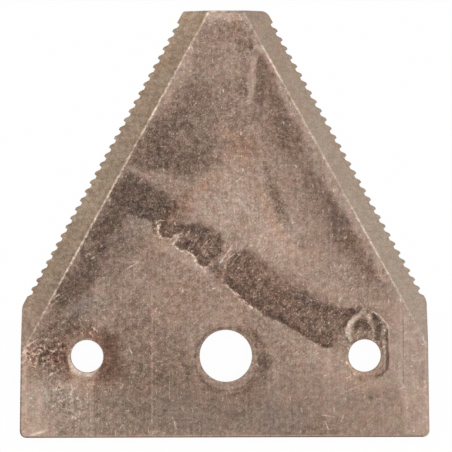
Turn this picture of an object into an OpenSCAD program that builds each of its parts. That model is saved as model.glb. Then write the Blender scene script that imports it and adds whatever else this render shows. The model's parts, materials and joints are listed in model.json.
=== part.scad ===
// Mower sickle section: a triangular knife plate with two bevelled cutting edges,
// serrated from underneath, and a row of three holes for its knife bar.
// Millimetres, +Z up. The plate lies on its flat underside with its tip towards +Y.
// The origin is on the underside, midway between the two rivet holes.

/* [Plate] */
// Thickness of the steel
plate_t = 2.5; // [2:0.1:3.5]
// Width along the base edge
base_w = 74.9; // [72:0.1:80]
// Width at the shoulders, a little less than the base
shoulder_w = 74.2; // [71:0.1:79]
// How far the sides sit to the right of the middle of the holes
side_shift = -0.25; // [-0.5:0.05:0.5]
// Width of the tip, out to the lines of the tooth tips
tip_w = 15.3; // [13:0.1:18]
// Base edge to the row of holes
base_to_holes = 14.85; // [12:0.05:18]
// Row of holes up to the shoulders
holes_to_shoulder = 9.6; // [8:0.2:12]
// Row of holes up to the tip edge
holes_to_tip = 63.15; // [56:0.05:70]
// Corner radius at the base
base_corner_r = 1.2; // [0.8:0.1:3]
// Corner radius at the shoulders
shoulder_r = 3; // [1:0.5:6]
// Left corner radius at the tip
left_tip_r = 0.6; // [0.4:0.1:2.5]
// Right corner radius at the tip, worn rounder than the left one
right_tip_r = 1.8; // [0.4:0.1:2.5]
// How far the sheared top edge is rolled over
edge_roll = 0.3; // [0.1:0.05:0.5]

/* [Cutting edges] */
// Width of the left bevel, square to its edge
left_bevel_w = 4.2; // [3.4:0.1:5.5]
// Width of the right bevel, square to its edge
right_bevel_w = 3.9; // [3.4:0.1:5.5]
// Thickness left under the bevel at the tooth tips
edge_land = 0.15; // [0.1:0.05:0.5]

/* [Serrations] */
// Spacing of the grooves along the height of the plate
tooth_pitch = 1.63; // [1.4:0.01:2.2]
// How far each notch goes in from the tooth tips, level with the base
tooth_depth = 0.62; // [0.5:0.02:0.9]
// Flat left between two grooves on the underside
tooth_tip_flat = 0.1; // [0.05:0.05:0.4]
// Flat at the root of each groove
groove_root_flat = 0.45; // [0.1:0.05:0.6]
// Length over which a groove runs out under the plate
groove_run = 5; // [4:0.5:8]
// Tip edge down to the middle of the first groove
first_groove_drop = 2.65; // [2.5:0.05:4]
// Plain edge left between the last groove and the shoulder, at least
plain_shoulder = 1.6; // [1.4:0.1:3]

/* [Holes] */
// Distance between the two rivet holes
rivet_spacing = 50.8; // [48:0.2:54]
// Rivet hole diameter
rivet_hole_d = 6; // [5:0.1:6.6]
// Centre hole diameter
centre_hole_d = 9.6; // [8:0.1:11]
// Width of the flare that punching left round a rivet hole
rivet_flare = 0.25; // [0.1:0.05:0.5]
// Width of the flare round the centre hole
centre_flare = 0.6; // [0.3:0.05:0.8]
// Depth of the flares
flare_depth = 0.35; // [0.2:0.05:0.5]

/* [Worn pocket] */
// Width of the shallow pocket worn into the top above the right rivet hole
pocket_w = 7.7; // [6.8:0.1:8.4]
// Shift of the pocket to the right of that hole
pocket_shift = 0.4; // [0:0.1:0.8]
// Row of holes up to the round end of the pocket
pocket_rise = 8.4; // [7:0.1:9.5]
// Depth at the round end
pocket_depth = 0.25; // [0.1:0.05:0.4]
// Length over which the pocket fades out downwards
pocket_fade = 13; // [10:0.5:16]

/* [Hidden] */
$fn = 64;
over = 1; // how far a cut reaches past what it cuts
roll_start = edge_roll / 4; // how far in the steep lower part of the rolled edge goes
edge_angle = atan2((shoulder_w - tip_w) / 2, holes_to_tip - holes_to_shoulder);
edge_length = norm([(shoulder_w - tip_w) / 2, holes_to_tip - holes_to_shoulder]);
groove_w = tooth_pitch - tooth_tip_flat;
first_groove_y = holes_to_tip - first_groove_drop;
groove_count = 1 + floor((first_groove_y - holes_to_shoulder - plain_shoulder) / tooth_pitch);

left_side = shoulder_w / 2 - side_shift; // from the middle of the holes to each shoulder
right_side = shoulder_w / 2 + side_shift;

// The blank's corners, counter-clockwise from the left end of the base, each with its radius.
corners = [
    [side_shift - base_w / 2, -base_to_holes],
    [side_shift + base_w / 2, -base_to_holes],
    [right_side, edge_y(right_side)],
    [tip_w / 2, holes_to_tip],
    [-tip_w / 2, holes_to_tip],
    [-left_side, edge_y(left_side)],
];
corner_r = [base_corner_r, base_corner_r, shoulder_r, right_tip_r, left_tip_r, shoulder_r];

function unit(v) = v / norm(v);

// Distance of the tooth tips from the middle of the plate at height y.
function edge_x(y) = tip_w / 2 + (holes_to_tip - y) * tan(edge_angle);

// Height at which the tooth tips are x away from the middle of the plate.
function edge_y(x) = holes_to_tip - (x - tip_w / 2) / tan(edge_angle);

// How steeply a bevel climbs inwards, measured level with the base.
function bevel_slope(bevel_w) = (plate_t - edge_land) * cos(edge_angle) / bevel_w;

// Depth of a groove at the tooth tips, so that its root meets the bevel at the tooth depth.
function groove_depth(bevel_w) =
    (edge_land + tooth_depth * bevel_slope(bevel_w)) / (1 - tooth_depth / groove_run);

// Points of the arc that rounds corner b between its neighbours a and c.
function rounded(a, b, c, r, steps = 8) =
    let (
        u = unit(a - b), v = unit(c - b),
        half = acos(u * v) / 2,
        middle = b + unit(u + v) * r / sin(half),
        from = b + u * r / tan(half) - middle,
        start = atan2(from[1], from[0]),
        turn = 180 - 2 * half
    )
    [for (i = [0 : steps]) middle + r * [cos(start + turn * i / steps), sin(start + turn * i / steps)]];

// Outline of the blank, drawn in by an even distance from the sheared edge.
module blank_outline(inset = 0) {
    n = len(corners);
    offset(delta = -inset)
        polygon([for (i = [0 : n - 1])
            each rounded(corners[(i + n - 1) % n], corners[i], corners[(i + 1) % n], corner_r[i])]);
}

// Sheared plate with its top edge rolled over, steep at first and then flatter.
module blank() {
    hull() {
        linear_extrude(plate_t - edge_roll) blank_outline();
        linear_extrude(plate_t - roll_start) blank_outline(roll_start);
        linear_extrude(plate_t) blank_outline(edge_roll);
    }
}

// Wedge ground off the top along the right edge, from beyond the tip to beyond the side.
module bevel_cut(bevel_w) {
    slope = (plate_t - edge_land) / bevel_w;
    past_ends = bevel_w / sin(edge_angle) + over;
    translate([tip_w / 2, holes_to_tip, 0])
        rotate([0, 0, edge_angle])
            translate([0, past_ends, 0])
                rotate([90, 0, 0])
                    linear_extrude(edge_length + 2 * past_ends)
                        polygon([
                            [-bevel_w - over, plate_t + over * slope],
                            [over, edge_land - over * slope],
                            [over, plate_t + over * slope],
                        ]);
}

// Section of one groove, with its root at the depth it has at the tooth tips.
module groove_section(depth) {
    polygon([
        [-groove_w / 2, -over],
        [groove_w / 2, -over],
        [groove_w / 2, 0],
        [groove_root_flat / 2, depth],
        [-groove_root_flat / 2, depth],
        [-groove_w / 2, 0],
    ]);
}

// Row of grooves cut up from the underside into the right edge, level with the base.
module groove_cuts(bevel_w) {
    depth = groove_depth(bevel_w);
    climb = atan2(depth, groove_run);
    for (i = [0 : groove_count - 1]) {
        y = first_groove_y - i * tooth_pitch;
        translate([edge_x(y), y, 0])
            rotate([0, -climb, 0])
                rotate([90, 0, -90])
                    translate([0, 0, -over])
                        linear_extrude(groove_run + 2 * over)
                            groove_section(depth);
    }
}

// Punched hole with the flare that the punch drew down round it.
module punched_hole(d, flare) {
    translate([0, 0, -over]) cylinder(d = d, h = plate_t + 2 * over);
    translate([0, 0, plate_t - flare_depth])
        cylinder(d1 = d, d2 = d + 2 * flare * (1 + over / flare_depth), h = flare_depth + over);
}

// Shallow pocket, deepest at its round upper end.
module worn_pocket() {
    r = pocket_w / 2;
    translate([rivet_spacing / 2 + pocket_shift, pocket_rise, plate_t - pocket_depth])
        rotate([-atan2(pocket_depth, pocket_fade), 0, 0])
            linear_extrude(over) {
                translate([0, -r]) circle(r);
                translate([-r, -pocket_fade - over]) square([pocket_w, pocket_fade + over - r]);
            }
}

module sickle_section() {
    color("#94806f")
        difference() {
            blank();
            bevel_cut(right_bevel_w);
            groove_cuts(right_bevel_w);
            mirror([1, 0, 0]) {
                bevel_cut(left_bevel_w);
                groove_cuts(left_bevel_w);
            }
            punched_hole(centre_hole_d, centre_flare);
            for (side = [-1, 1])
                translate([side * rivet_spacing / 2, 0, 0]) punched_hole(rivet_hole_d, rivet_flare);
            worn_pocket();
        }
}

sickle_section();
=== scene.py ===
# %% [markdown]
# # A worn mower sickle section
# A sickle section is one knife of a mower's cutter bar: a flat triangle of hardened steel, ground to a
# bevel along both sides and serrated from underneath. This one has worked for years, so most of its look is
# wear: a tanned, mottled face, a galled smear, burnished arrises and scratches everywhere. The imported solid
# gives every size. It is loaded first and never changed, and its box is kept.

# %% Load the imported solid
import json
import math

import bmesh
import bpy
import numpy as np
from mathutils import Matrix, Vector, geometry


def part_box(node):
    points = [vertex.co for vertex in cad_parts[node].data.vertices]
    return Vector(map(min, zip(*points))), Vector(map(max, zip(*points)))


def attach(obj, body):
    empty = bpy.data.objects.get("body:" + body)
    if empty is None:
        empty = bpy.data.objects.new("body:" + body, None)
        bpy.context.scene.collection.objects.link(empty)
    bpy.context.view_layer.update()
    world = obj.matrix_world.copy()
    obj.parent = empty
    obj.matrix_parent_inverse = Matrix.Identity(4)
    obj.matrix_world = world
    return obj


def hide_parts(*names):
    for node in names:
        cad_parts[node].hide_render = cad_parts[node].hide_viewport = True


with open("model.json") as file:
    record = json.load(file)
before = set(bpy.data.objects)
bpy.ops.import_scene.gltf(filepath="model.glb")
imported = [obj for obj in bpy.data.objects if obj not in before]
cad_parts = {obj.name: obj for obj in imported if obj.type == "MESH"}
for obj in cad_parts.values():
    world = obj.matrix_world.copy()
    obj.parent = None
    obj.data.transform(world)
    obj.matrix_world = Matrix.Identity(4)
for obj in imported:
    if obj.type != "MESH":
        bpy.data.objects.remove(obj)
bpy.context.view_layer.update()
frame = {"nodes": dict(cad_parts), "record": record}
MM = 0.001

# %% [markdown]
# ## What the solid says
# Three holes and the thickness decide where everything on this plate goes. They could be typed in once
# more, but then they would go wrong as soon as the solid changes. So the holes come from the record's
# mounts, and the top from the node's own box. All that follows is in millimetres, with the origin between
# the two rivet holes and the tip towards +Y.

# %% Measure the plate
HOLE_NAMES = ("left_rivet_hole", "centre_hole", "right_rivet_hole")
plate = frame["nodes"]["sickle_section"]
top_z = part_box("sickle_section")[1].z / MM
mounts = {mount["name"]: mount for mount in frame["record"]["mounts"]}
holes = {}
for name in HOLE_NAMES:
    x, y = mounts[name]["pos_m"][:2]
    holes[name] = (x / MM, y / MM, mounts[name]["dims"]["r_mm"])
flare_depth = top_z - mounts["centre_hole"]["dims"]["length_mm"]
print("top at", round(top_z, 3), "mm, flares", round(flare_depth, 3), "mm deep")
print("holes as x, y and radius:", {name: np.round(hole, 2).tolist() for name, hole in holes.items()})

# %% [markdown]
# ## A copy to work on
# The node's own mesh has to stay as it is, so the work is done on a copy, in a bmesh that is scaled to
# millimetres. Each ground bevel is the largest tilted face on its side. Its normal and its offset give the
# height of the bevel anywhere, so they are read here and not typed in.

# %% Copy the mesh and find the bevels
MERGE_REACH = 0.001
BEVEL_TILT = (0.7, 0.97)
BEVEL_LEAN = 0.38
LEFT, RIGHT = -1, 1

shell = bmesh.new()
shell.from_mesh(plate.data)
shell.transform(plate.matrix_world)
bmesh.ops.scale(shell, vec=(1 / MM,) * 3, verts=shell.verts)
bmesh.ops.remove_doubles(shell, verts=shell.verts, dist=MERGE_REACH)
shell.normal_update()


def ground_plane(side):
    """Normal and offset of the bevel on one side, from its largest face."""
    steepest, flattest = BEVEL_TILT
    tilted = [f for f in shell.faces if steepest < f.normal.z < flattest and f.normal.x * side > BEVEL_LEAN]
    face = max(tilted, key=lambda f: f.calc_area())
    return np.array(face.normal), face.normal.dot(face.verts[0].co)


bevels = [ground_plane(LEFT), ground_plane(RIGHT)]
print("bevel normals:", [n.round(3).tolist() for n, _ in bevels])

# %% [markdown]
# ## Lifting off the top skin
# Wear is relief: a galled groove, a worn pocket, rounded arrises. The solid's top is made of a few huge
# flat faces with no points to press down, so those faces are cut off the copy and a fine skin is woven into
# the opening. A voxel remesh would be quicker to write, but it would chew up the teeth. Keeping the walls,
# teeth, bores and underside as they are leaves every fitted surface exactly where the solid has it.

# %% Cut the top faces off the copy
POCKET_BOX = (20.5, -6.0, 30.5, 9.5)
SAME_WAY = 0.9999
TOP_SLACK = 0.001
BEVEL_SLACK = 0.005
FLARE_REACH = 1.0
FLARE_MARGIN = 1.2


def in_plane(face, normal, offset, slack):
    """True for a face that lies in a plane."""
    middle = face.calc_center_median()
    return face.normal.dot(normal) > SAME_WAY and abs(middle.dot(normal) - offset) < slack


def on_top(face):
    """True for a face of the top, a bevel, a hole's flare or the worn pocket."""
    if in_plane(face, Vector((0, 0, 1)), top_z, TOP_SLACK):
        return True
    if any(in_plane(face, Vector(n), d, BEVEL_SLACK) for n, d in bevels):
        return True
    c = face.calc_center_median()
    if c.z < top_z - FLARE_MARGIN * flare_depth:
        return False
    x0, y0, x1, y1 = POCKET_BOX
    near_hole = any(math.hypot(c.x - x, c.y - y) < r + FLARE_REACH for x, y, r in holes.values())
    return near_hole or (x0 < c.x < x1 and y0 < c.y < y1)


skin_faces = [f for f in shell.faces if on_top(f)]
bmesh.ops.delete(shell, geom=skin_faces, context="FACES")
shell.verts.index_update()
print("cut off", len(skin_faces), "faces and kept", len(shell.faces))

# %% [markdown]
# ## The edge of the opening
# The new skin has to meet the kept faces exactly, or the plate would show cracks. So the points on the edge
# of the opening are collected in loops: a long one round the plate, and one round each hole. Blender marks
# such edges as boundary edges, and walking from one to the next puts their points in order.

# %% Walk round the opening


def boundary_loops(mesh):
    """Vertex loops round the opening, longest first."""
    edges = {v: [e for e in v.link_edges if e.is_boundary] for v in mesh.verts}
    left = {v for v, found in edges.items() if found}
    loops = []
    while left:
        here = min(left, key=lambda v: v.index)
        loop = []
        while here:
            loop.append(here)
            left.discard(here)
            ahead = [e.other_vert(here) for e in edges[here] if e.other_vert(here) in left]
            here = ahead[0] if ahead else None
        loops.append(loop)
    return sorted(loops, key=len, reverse=True)


loops = boundary_loops(shell)
print("loops round the opening have", [len(loop) for loop in loops], "points")

# %% [markdown]
# ## Distances to drawn paths
# The outlines of the wear were read off the plate and are written down below, as points in
# millimetres. To use such a path, each point of the skin asks how far away it is, and whether it is inside.
# Blender can ask this of curves, but for so many points plain arrays are quicker, and they leave no extra
# objects behind.

# %% Distance to a path, and inside an outline
FAR_AWAY = 1e9
TINY = 1e-12


def path_distance(points, path, closed=True):
    """Distance of points to a path, with the nearest segment and how far along it the nearest place is."""
    best = np.full(len(points), FAR_AWAY)
    which = np.zeros(len(points), int)
    share_there = np.zeros(len(points))
    ends = np.roll(path, -1, axis=0) if closed else path[1:]
    for i, (a, b) in enumerate(zip(path, ends)):
        along = b - a
        share = np.clip(((points - a) @ along) / max(along @ along, TINY), 0, 1)
        away = np.linalg.norm(points - a - share[:, None] * along, axis=1)
        nearer = away < best
        best[nearer] = away[nearer]
        which[nearer] = i
        share_there[nearer] = share[nearer]
    return best, which, share_there


def inside(points, path):
    """Even-odd test of points against a closed path."""
    hit = np.zeros(len(points), bool)
    x, y = points.T
    for (x1, y1), (x2, y2) in zip(path, np.roll(path, -1, axis=0)):
        crosses = (y1 > y) != (y2 > y)
        rise = y2 - y1 if y2 != y1 else TINY
        hit ^= crosses & (x < (x2 - x1) * (y - y1) / rise + x1)
    return hit


loop_points = [np.array([v.co[:2] for v in loop]) for loop in loops]
outline = loop_points[0]
hole_middles = np.array([hole[:2] for hole in holes.values()])
print("holes are", path_distance(hole_middles, outline)[0].round(2), "mm from the outline")
print("and inside it:", inside(hole_middles, outline))

# %% [markdown]
# ## The galled smear
# Something hard was dragged across this plate: a dark, torn smear runs from the left arris down to the
# right rivet hole. It has three parts, a round knot, a lobe and a long body. Each outline point carries how
# soft the edge is there, because its lower side is torn sharp and its upper side fades. The knot is a
# circle, so its points are worked out.

# %% Outline of the smear
GALL_LOBE = [
    (-8.3, 23.8, 0.5), (-4.6, 23.8, 0.6), (-2.4, 23.1, 0.6), (-0.8, 22.2, 0.4), (-0.4, 20.8, 0.3),
    (-0.6, 18.9, 0.3), (-1.5, 17.6, 0.3), (-2.8, 16.8, 0.1), (-4, 16.1, 0), (-5.1, 16.9, 0),
    (-5.8, 18.4, 0), (-7.5, 19.2, 0), (-8.7, 20, 0), (-9, 21.1, 0.1), (-8.3, 22, 0.1), (-7.6, 22.6, 0.2),
]
GALL_BODY = [
    (-0.5, 13.5, 0.3), (-0.2, 15.2, 0.5), (0.1, 16.4, 0.5), (0.5, 17.5, 0.35), (1.2, 18.7, 0.25),
    (2.2, 19.3, 0.3), (3.4, 19.2, 0.6), (5.1, 18.5, 0.8), (7.2, 17, 1), (8.4, 15.5, 1.1), (12.4, 12.9, 1.1),
    (17.1, 10.3, 0.6), (20.5, 8.9, 0.15), (24.9, 8.7, 0), (22.7, 6.9, 0), (21.7, 5.2, 0), (21.9, 4, 0.1),
    (21.3, 3.9, 0.3), (20.2, 2.9, 0.5), (19.4, 1.7, 0.3), (18.2, 1.5, 0.1), (16.5, 2.2, 0), (13.1, 4.45, 0),
    (10.2, 6.3, 0), (7.3, 7.3, 0), (4.9, 9.1, 0), (3.6, 10.2, 0), (1.6, 12, 0), (0.1, 13.1, 0),
]
KNOT_MIDDLE = (-10.6, 23.2)
KNOT_RADIUS = 1.6
KNOT_POINTS = 14
KNOT_SOFTNESS = 0.45
KNOT_FADES_TOWARDS = 0.8
GALL_KNOT = []
for angle in np.linspace(0, 2 * math.pi, KNOT_POINTS, endpoint=False):
    softness = KNOT_SOFTNESS * max(0.0, math.cos(angle - KNOT_FADES_TOWARDS))
    x = KNOT_MIDDLE[0] + KNOT_RADIUS * math.cos(angle)
    y = KNOT_MIDDLE[1] + KNOT_RADIUS * math.sin(angle)
    GALL_KNOT.append((x, y, softness))
print("smear outlined with", len(GALL_LOBE) + len(GALL_BODY) + len(GALL_KNOT), "points")

# %% [markdown]
# ## How far away the smear is
# A mask that is 0 outside the smear and 1 inside would do for its colour. A distance that is negative
# inside does for more: the groove, the torn edge and the burr along it can all be worked out from the same
# number.

# %% Distance to the smear


def gall_edge(points):
    """Signed distance to the smear, negative inside, and the softness of its nearest edge."""
    nearest = np.full(len(points), FAR_AWAY)
    softness = np.zeros(len(points))
    for shape in (GALL_KNOT, GALL_LOBE, GALL_BODY):
        shape = np.array(shape)
        away, i, share = path_distance(points, shape[:, :2])
        signed = np.where(inside(points, shape[:, :2]), -away, away)
        soft_here = shape[i, 2] * (1 - share) + np.roll(shape[:, 2], -1)[i] * share
        nearer = signed < nearest
        nearest[nearer] = signed[nearer]
        softness[nearer] = soft_here[nearer]
    return nearest, softness


print("smear is", gall_edge(hole_middles)[0].round(2), "mm from the middles of the holes")

# %% [markdown]
# ## Scratches worth naming
# Random scratches will give the right amount of wear later on, but the eye looks for the few bold ones.
# Those are noted one by one: x and y of both ends, half width and strength. Bright ones cut down to clean
# steel.

# %% Write down the bright scratches in groups
GROUPED_SCRATCHES = [
    # On the smear and along its lower edge
    (1.9, 11.6, 2.6, 11, 0.16, 0.7), (3.2, 10.2, 4, 9.7, 0.16, 0.7), (4.4, 9.2, 4.9, 8.8, 0.2, 0.8),
    (1.2, 17.2, 2.6, 18.6, 0.13, 0.6), (2.4, 16, 3.6, 17.6, 0.13, 0.5), (6.8, 14.2, 7.8, 15.4, 0.13, 0.5),
    (-4.2, 18.6, -3.4, 19.8, 0.13, 0.55), (-7.2, 19.2, -6.6, 19.9, 0.16, 0.6),
    (-9.6, 20.4, -9.1, 20.9, 0.2, 0.6),
    # Nicks beside the left arris
    (-25.5, 18.3, -25.2, 18.8, 0.2, 0.8), (-24.4, 17.9, -24, 18.2, 0.2, 0.7),
    (-25, 18.9, -24.7, 18.6, 0.18, 0.7), (-21.9, 28.8, -21.4, 29.3, 0.2, 0.7),
    (-21.2, 28.5, -20.9, 28.9, 0.2, 0.6), (-20.6, 27.6, -20.4, 27.9, 0.2, 0.5),
    (-28.1, 16.3, -27.8, 16.7, 0.2, 0.6),
    # Beside the rivet holes, and round the knot of the smear
    (-24.4, 5.4, -23.9, 4.9, 0.2, 0.7), (-23.5, 5.3, -23.2, 5.5, 0.2, 0.7),
    (24.1, -3.5, 24.2, -3.6, 0.2, 0.8), (-12.7, 24.3, -12.1, 24.8, 0.2, 0.6),
    (-11.9, 24.9, -11.3, 24.8, 0.18, 0.55), (-12.5, 23.2, -12.4, 23.9, 0.15, 0.5),
    # Hatching across the smear
    (0.9, 16.2, 1.6, 17.3, 0.12, 0.5), (1.6, 15, 2.4, 16.3, 0.12, 0.4), (3, 15.6, 3.8, 16.8, 0.12, 0.4),
    (5.6, 13.2, 6.2, 14.2, 0.12, 0.45), (-5.4, 21, -4.6, 22, 0.12, 0.5), (-7, 20.9, -6.4, 21.5, 0.12, 0.5),
    (-3, 20.4, -2.2, 21.5, 0.12, 0.45), (4.6, 10.9, 5.2, 11.6, 0.12, 0.45),
    (7.4, 10.9, 7.9, 11.5, 0.12, 0.5), (9.4, 10, 9.9, 10.8, 0.12, 0.4), (11.6, 7.6, 12, 8.3, 0.12, 0.45),
    (14.4, 5.6, 15, 6.6, 0.12, 0.4),
    # In the pitted patch, and above the left rivet hole
    (-36.4, 1.9, -34.3, 3.25, 0.17, 0.6), (-36.6, 0.2, -36.1, -1.1, 0.17, 0.6),
    (-35.8, -1.5, -34.6, -1.95, 0.16, 0.5), (-34, 2.2, -32.9, 1.4, 0.16, 0.5),
    (-32.5, 1.3, -30.9, 0.7, 0.15, 0.4), (-32.2, -2.3, -31.2, -1.2, 0.15, 0.45),
    (-31.8, 3.7, -30.4, 3.3, 0.14, 0.4), (-24.8, 4.5, -24.3, 3.7, 0.2, 0.6),
    (-23.7, 4.9, -23.4, 4.5, 0.15, 0.6),
]
print(len(GROUPED_SCRATCHES), "bright scratches in groups")

# %% [markdown]
# ## Scattered scratches
# The others lie further apart, some short and some across half the plate. They are written down in the same
# way, and joined to the first ones.

# %% Write down the scattered bright scratches
SCATTERED_SCRATCHES = [
    # On the lobe and the knot, and round them
    (-6.9, 19.1, -6, 18.5, 0.2, 0.6), (-5.8, 18.3, -5.1, 17.4, 0.2, 0.6),
    (-9.6, 20.6, -8.9, 21.2, 0.24, 0.5), (-8.6, 21.7, -7.9, 21.9, 0.2, 0.4),
    (-7.6, 21.7, -7, 22.3, 0.16, 0.4), (-7, 22.3, -6.6, 22.8, 0.16, 0.4),
    (-5.9, 20.2, -5.2, 21.6, 0.12, 0.5), (-6.9, 19.6, -6.3, 20.6, 0.12, 0.45),
    (-3.6, 18.2, -2.9, 19.5, 0.12, 0.45), (-12.2, 22.3, -12.3, 23.6, 0.16, 0.6),
    (-4.6, 22.6, -4.3, 22.9, 0.16, 0.7), (-9.3, 24.3, -9.1, 24, 0.2, 0.8),
    # On the left half
    (-32.6, -3.9, -31.6, -3, 0.2, 1), (-30.9, -6.1, -29.6, -5.8, 0.2, 0.6),
    (-32, -2.1, -31, -1.5, 0.18, 0.6), (-17.7, 1.7, -17.1, 0.4, 0.11, 0.8),
    (-26, -14, -25.1, -12.9, 0.12, 0.5), (-19.6, -13.4, -18.8, -12.4, 0.12, 0.5),
    (-35.4, -14.3, -32.7, -13.5, 0.34, 0.9), (-31.5, 10.5, -30.4, 11.4, 0.16, 0.8),
    (-31.9, 9.4, -30.6, 10.2, 0.12, 0.5), (-18.1, 16, -15.8, 17.3, 0.13, 0.7),
    (-7.9, 12.2, -7.7, 11.6, 0.13, 0.9), (-11.4, 9.3, -9.6, 11.6, 0.12, 0.35),
    # Longer ones across the smear
    (-1, 17, 1.2, 20.2, 0.14, 0.7), (0, 17.5, 2.5, 19.4, 0.14, 0.7), (-4.5, 19.7, -3.2, 21.1, 0.14, 0.6),
    (-0.6, 13.6, 0.2, 17.6, 0.3, 0.15), (18.2, 4, 21.6, 7.2, 0.16, 0.35),
    (18.9, 5.2, 21.3, 7.8, 0.14, 0.35),
    # Between the holes and the base
    (-10.3, -4.5, -10.3, -7.8, 0.1, 0.5), (-9.8, -11, -9, -13.4, 0.11, 0.6),
    (-8.1, -9.1, -7.7, -10, 0.14, 0.9), (0.4, -5.8, 0.9, -6.7, 0.15, 0.8),
    (18.1, -11.9, 18.7, -13.4, 0.12, 0.8), (17.7, -10.8, 19.8, -11.1, 0.12, 0.6),
    (21.6, -10.6, 21, -11.9, 0.11, 0.6), (25.9, -4.7, 19.8, -7.6, 0.12, 0.35),
    (30.2, -7.9, 31.7, -9.7, 0.1, 0.4),
    # Small bright nicks
    (2.85, 40.9, 2.85, 40.5, 0.22, 1), (-0.4, 48.6, -0.3, 48.2, 0.2, 0.9),
    (15.9, 31.2, 16.1, 30.8, 0.22, 0.9), (12.9, 34.8, 13, 34.5, 0.2, 0.9),
    (17.8, 30.1, 17.9, 29.7, 0.18, 0.8), (22.2, 22, 21.7, 21.4, 0.18, 0.8),
    (10.6, 42.8, 10.7, 42.5, 0.16, 0.8), (11.8, 42.4, 11.9, 42.1, 0.16, 0.8),
    (22, -1.1, 22.1, -1.4, 0.26, 1), (22.3, 1.5, 22.4, 1.1, 0.22, 0.8), (23.4, -3.2, 23.6, -3.5, 0.22, 0.9),
    (-12.4, 34.8, -12.3, 34.5, 0.16, 0.8), (-11.3, 34.2, -11.2, 34, 0.16, 0.8),
    # By the right wall, two long faint lines, and a nick at the tip
    (36, 3.3, 36.3, 2.4, 0.14, 0.6), (36.7, 1.5, 36.9, 0.8, 0.14, 0.6), (-13.5, 12, -13.5, -12, 0.24, 0.28),
    (-12.8, 8, -12.8, -10, 0.12, 0.15), (-4.1, 63, -4.6, 61.4, 0.2, 0.6),
]
BRIGHT_SCRATCHES = GROUPED_SCRATCHES + SCATTERED_SCRATCHES
print(len(BRIGHT_SCRATCHES), "bright scratches in all")

# %% [markdown]
# ## Dark scratches, and points for all of them
# A dark scratch is an old one, filled with dirt and rust. Bold scratches are still thinner than the lattice
# of the skin will be, so each gets four rows of points of its own: its two shoulders and the two sides of
# its floor. That lets it be a real groove, which a painted line would not be.

# %% Write down the dark scratches and make the rows
DARK_SCRATCHES = [
    (32.4, 7.4, 32.4, -5.1, 0.1, 0.55), (-28.5, 7.3, -28.5, 3.7, 0.13, 0.5),
    (-24.05, -5, -24.05, -11, 0.2, 0.25), (-23.8, -5.1, -17, -5.2, 0.2, 0.2),
    (7.3, 34.6, 9.4, 27.5, 0.15, 0.3),
]
ALL_SCRATCHES = BRIGHT_SCRATCHES + DARK_SCRATCHES
SCRATCH_STEP = 0.16
SCRATCH_SIDES = (-1, -0.3, 0.3, 1)


def scratch_rows(marks):
    """Rows of points along each scratch, from side to side."""
    rows = []
    for x1, y1, x2, y2, width, _ in marks:
        start = np.array((x1, y1))
        run = np.array((x2 - x1, y2 - y1))
        length = np.hypot(*run)
        run = run / length
        out = np.array((-run[1], run[0]))
        steps = np.linspace(-width, length + width, 3 + int(length / SCRATCH_STEP))
        rows += [start + run * s + out * (side * width) for side in SCRATCH_SIDES for s in steps]
    return np.array(rows)


scratch_points = scratch_rows(ALL_SCRATCHES)
print(len(DARK_SCRATCHES), "dark scratches;", len(scratch_points), "points for all scratches")

# %% [markdown]
# ## How fine the skin is
# A lattice of triangles will fill the opening. It is finer where there is more to show: in the worn pocket,
# on the smear, round the centre hole and in the rusty corner on the left. The finest lattice everywhere
# would be simpler, but it would need several times as many triangles.

# %% Zones of the skin
GRID = 0.3
LEFT_GRID = 0.2
CENTRE_GRID = 0.18
GALL_GRID = 0.18
POCKET_GRID = 0.14
LEFT_ZONE = (-37.0, -6.5, -17.0, 8.5)
CENTRE_ZONE_REACH = 2.4
GALL_ZONE_REACH = 0.9


def in_box(points, box):
    """True for points inside a box."""
    x0, y0, x1, y1 = box
    x, y = points.T
    return (x > x0) & (x < x1) & (y > y0) & (y < y1)


def zone_grid(points):
    """The lattice size that each place asks for."""
    size = np.full(len(points), GRID)
    size[in_box(points, LEFT_ZONE)] = LEFT_GRID
    x, y, r = holes["centre_hole"]
    size[np.hypot(points[:, 0] - x, points[:, 1] - y) < r + CENTRE_ZONE_REACH] = CENTRE_GRID
    size[gall_edge(points)[0] < GALL_ZONE_REACH] = GALL_GRID
    size[in_box(points, POCKET_BOX)] = POCKET_GRID
    return size


print("lattice at the middles of the holes:", zone_grid(hole_middles), "mm")

# %% [markdown]
# ## Rows along the arrises
# An arris is the edge where a bevel meets the face. The skin has to bend round it, so rows of points run
# parallel to it: the edge then stays straight and no triangle straddles it. A lattice alone would leave it
# jagged, however fine it is.

# %% Rows along the arrises
ROW_OFFSETS = (-0.42, -0.26, -0.13, 0.0, 0.13, 0.26, 0.42)
ROW_STEP = 0.3
ROW_REACH = 90


def arris_distance(points, side):
    """Level distance outwards from one arris: positive on the bevel, negative on the face."""
    n, d = bevels[side]
    return (points @ n[:2] + n[2] * top_z - d) / np.hypot(n[0], n[1])


arris_rows = []
for n, d in bevels:
    level = np.hypot(n[0], n[1])
    out = n[:2] / level
    run = np.array([-out[1], out[0]])
    foot = out * (d - n[2] * top_z) / level
    steps = np.arange(-ROW_REACH, ROW_REACH, ROW_STEP)
    arris_rows += [foot + out * offset + run * s for offset in ROW_OFFSETS for s in steps]
print(len(arris_rows), "points in rows, before they are cut to the opening")

# %% [markdown]
# ## Laying the lattice
# Each size gives a lattice of its own, which keeps only the points whose zone asks for that size. The
# lattice then makes room for the rows along the arrises and the scratches.

# %% Lay the lattice
FINE_BOX = (-38.0, -8.0, 31.0, 27.0)
SCRATCH_ROOM = 1.4


def triangle_lattice(size, box):
    """Points of a lattice of triangles that fills a box."""
    x0, y0, x1, y1 = box
    ys = np.arange(y0, y1, size * math.sqrt(3) / 2)
    xs = np.arange(x0, x1, size)
    return np.array([(x + (i % 2) * size / 2, y) for i, y in enumerate(ys) for x in xs])


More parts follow.
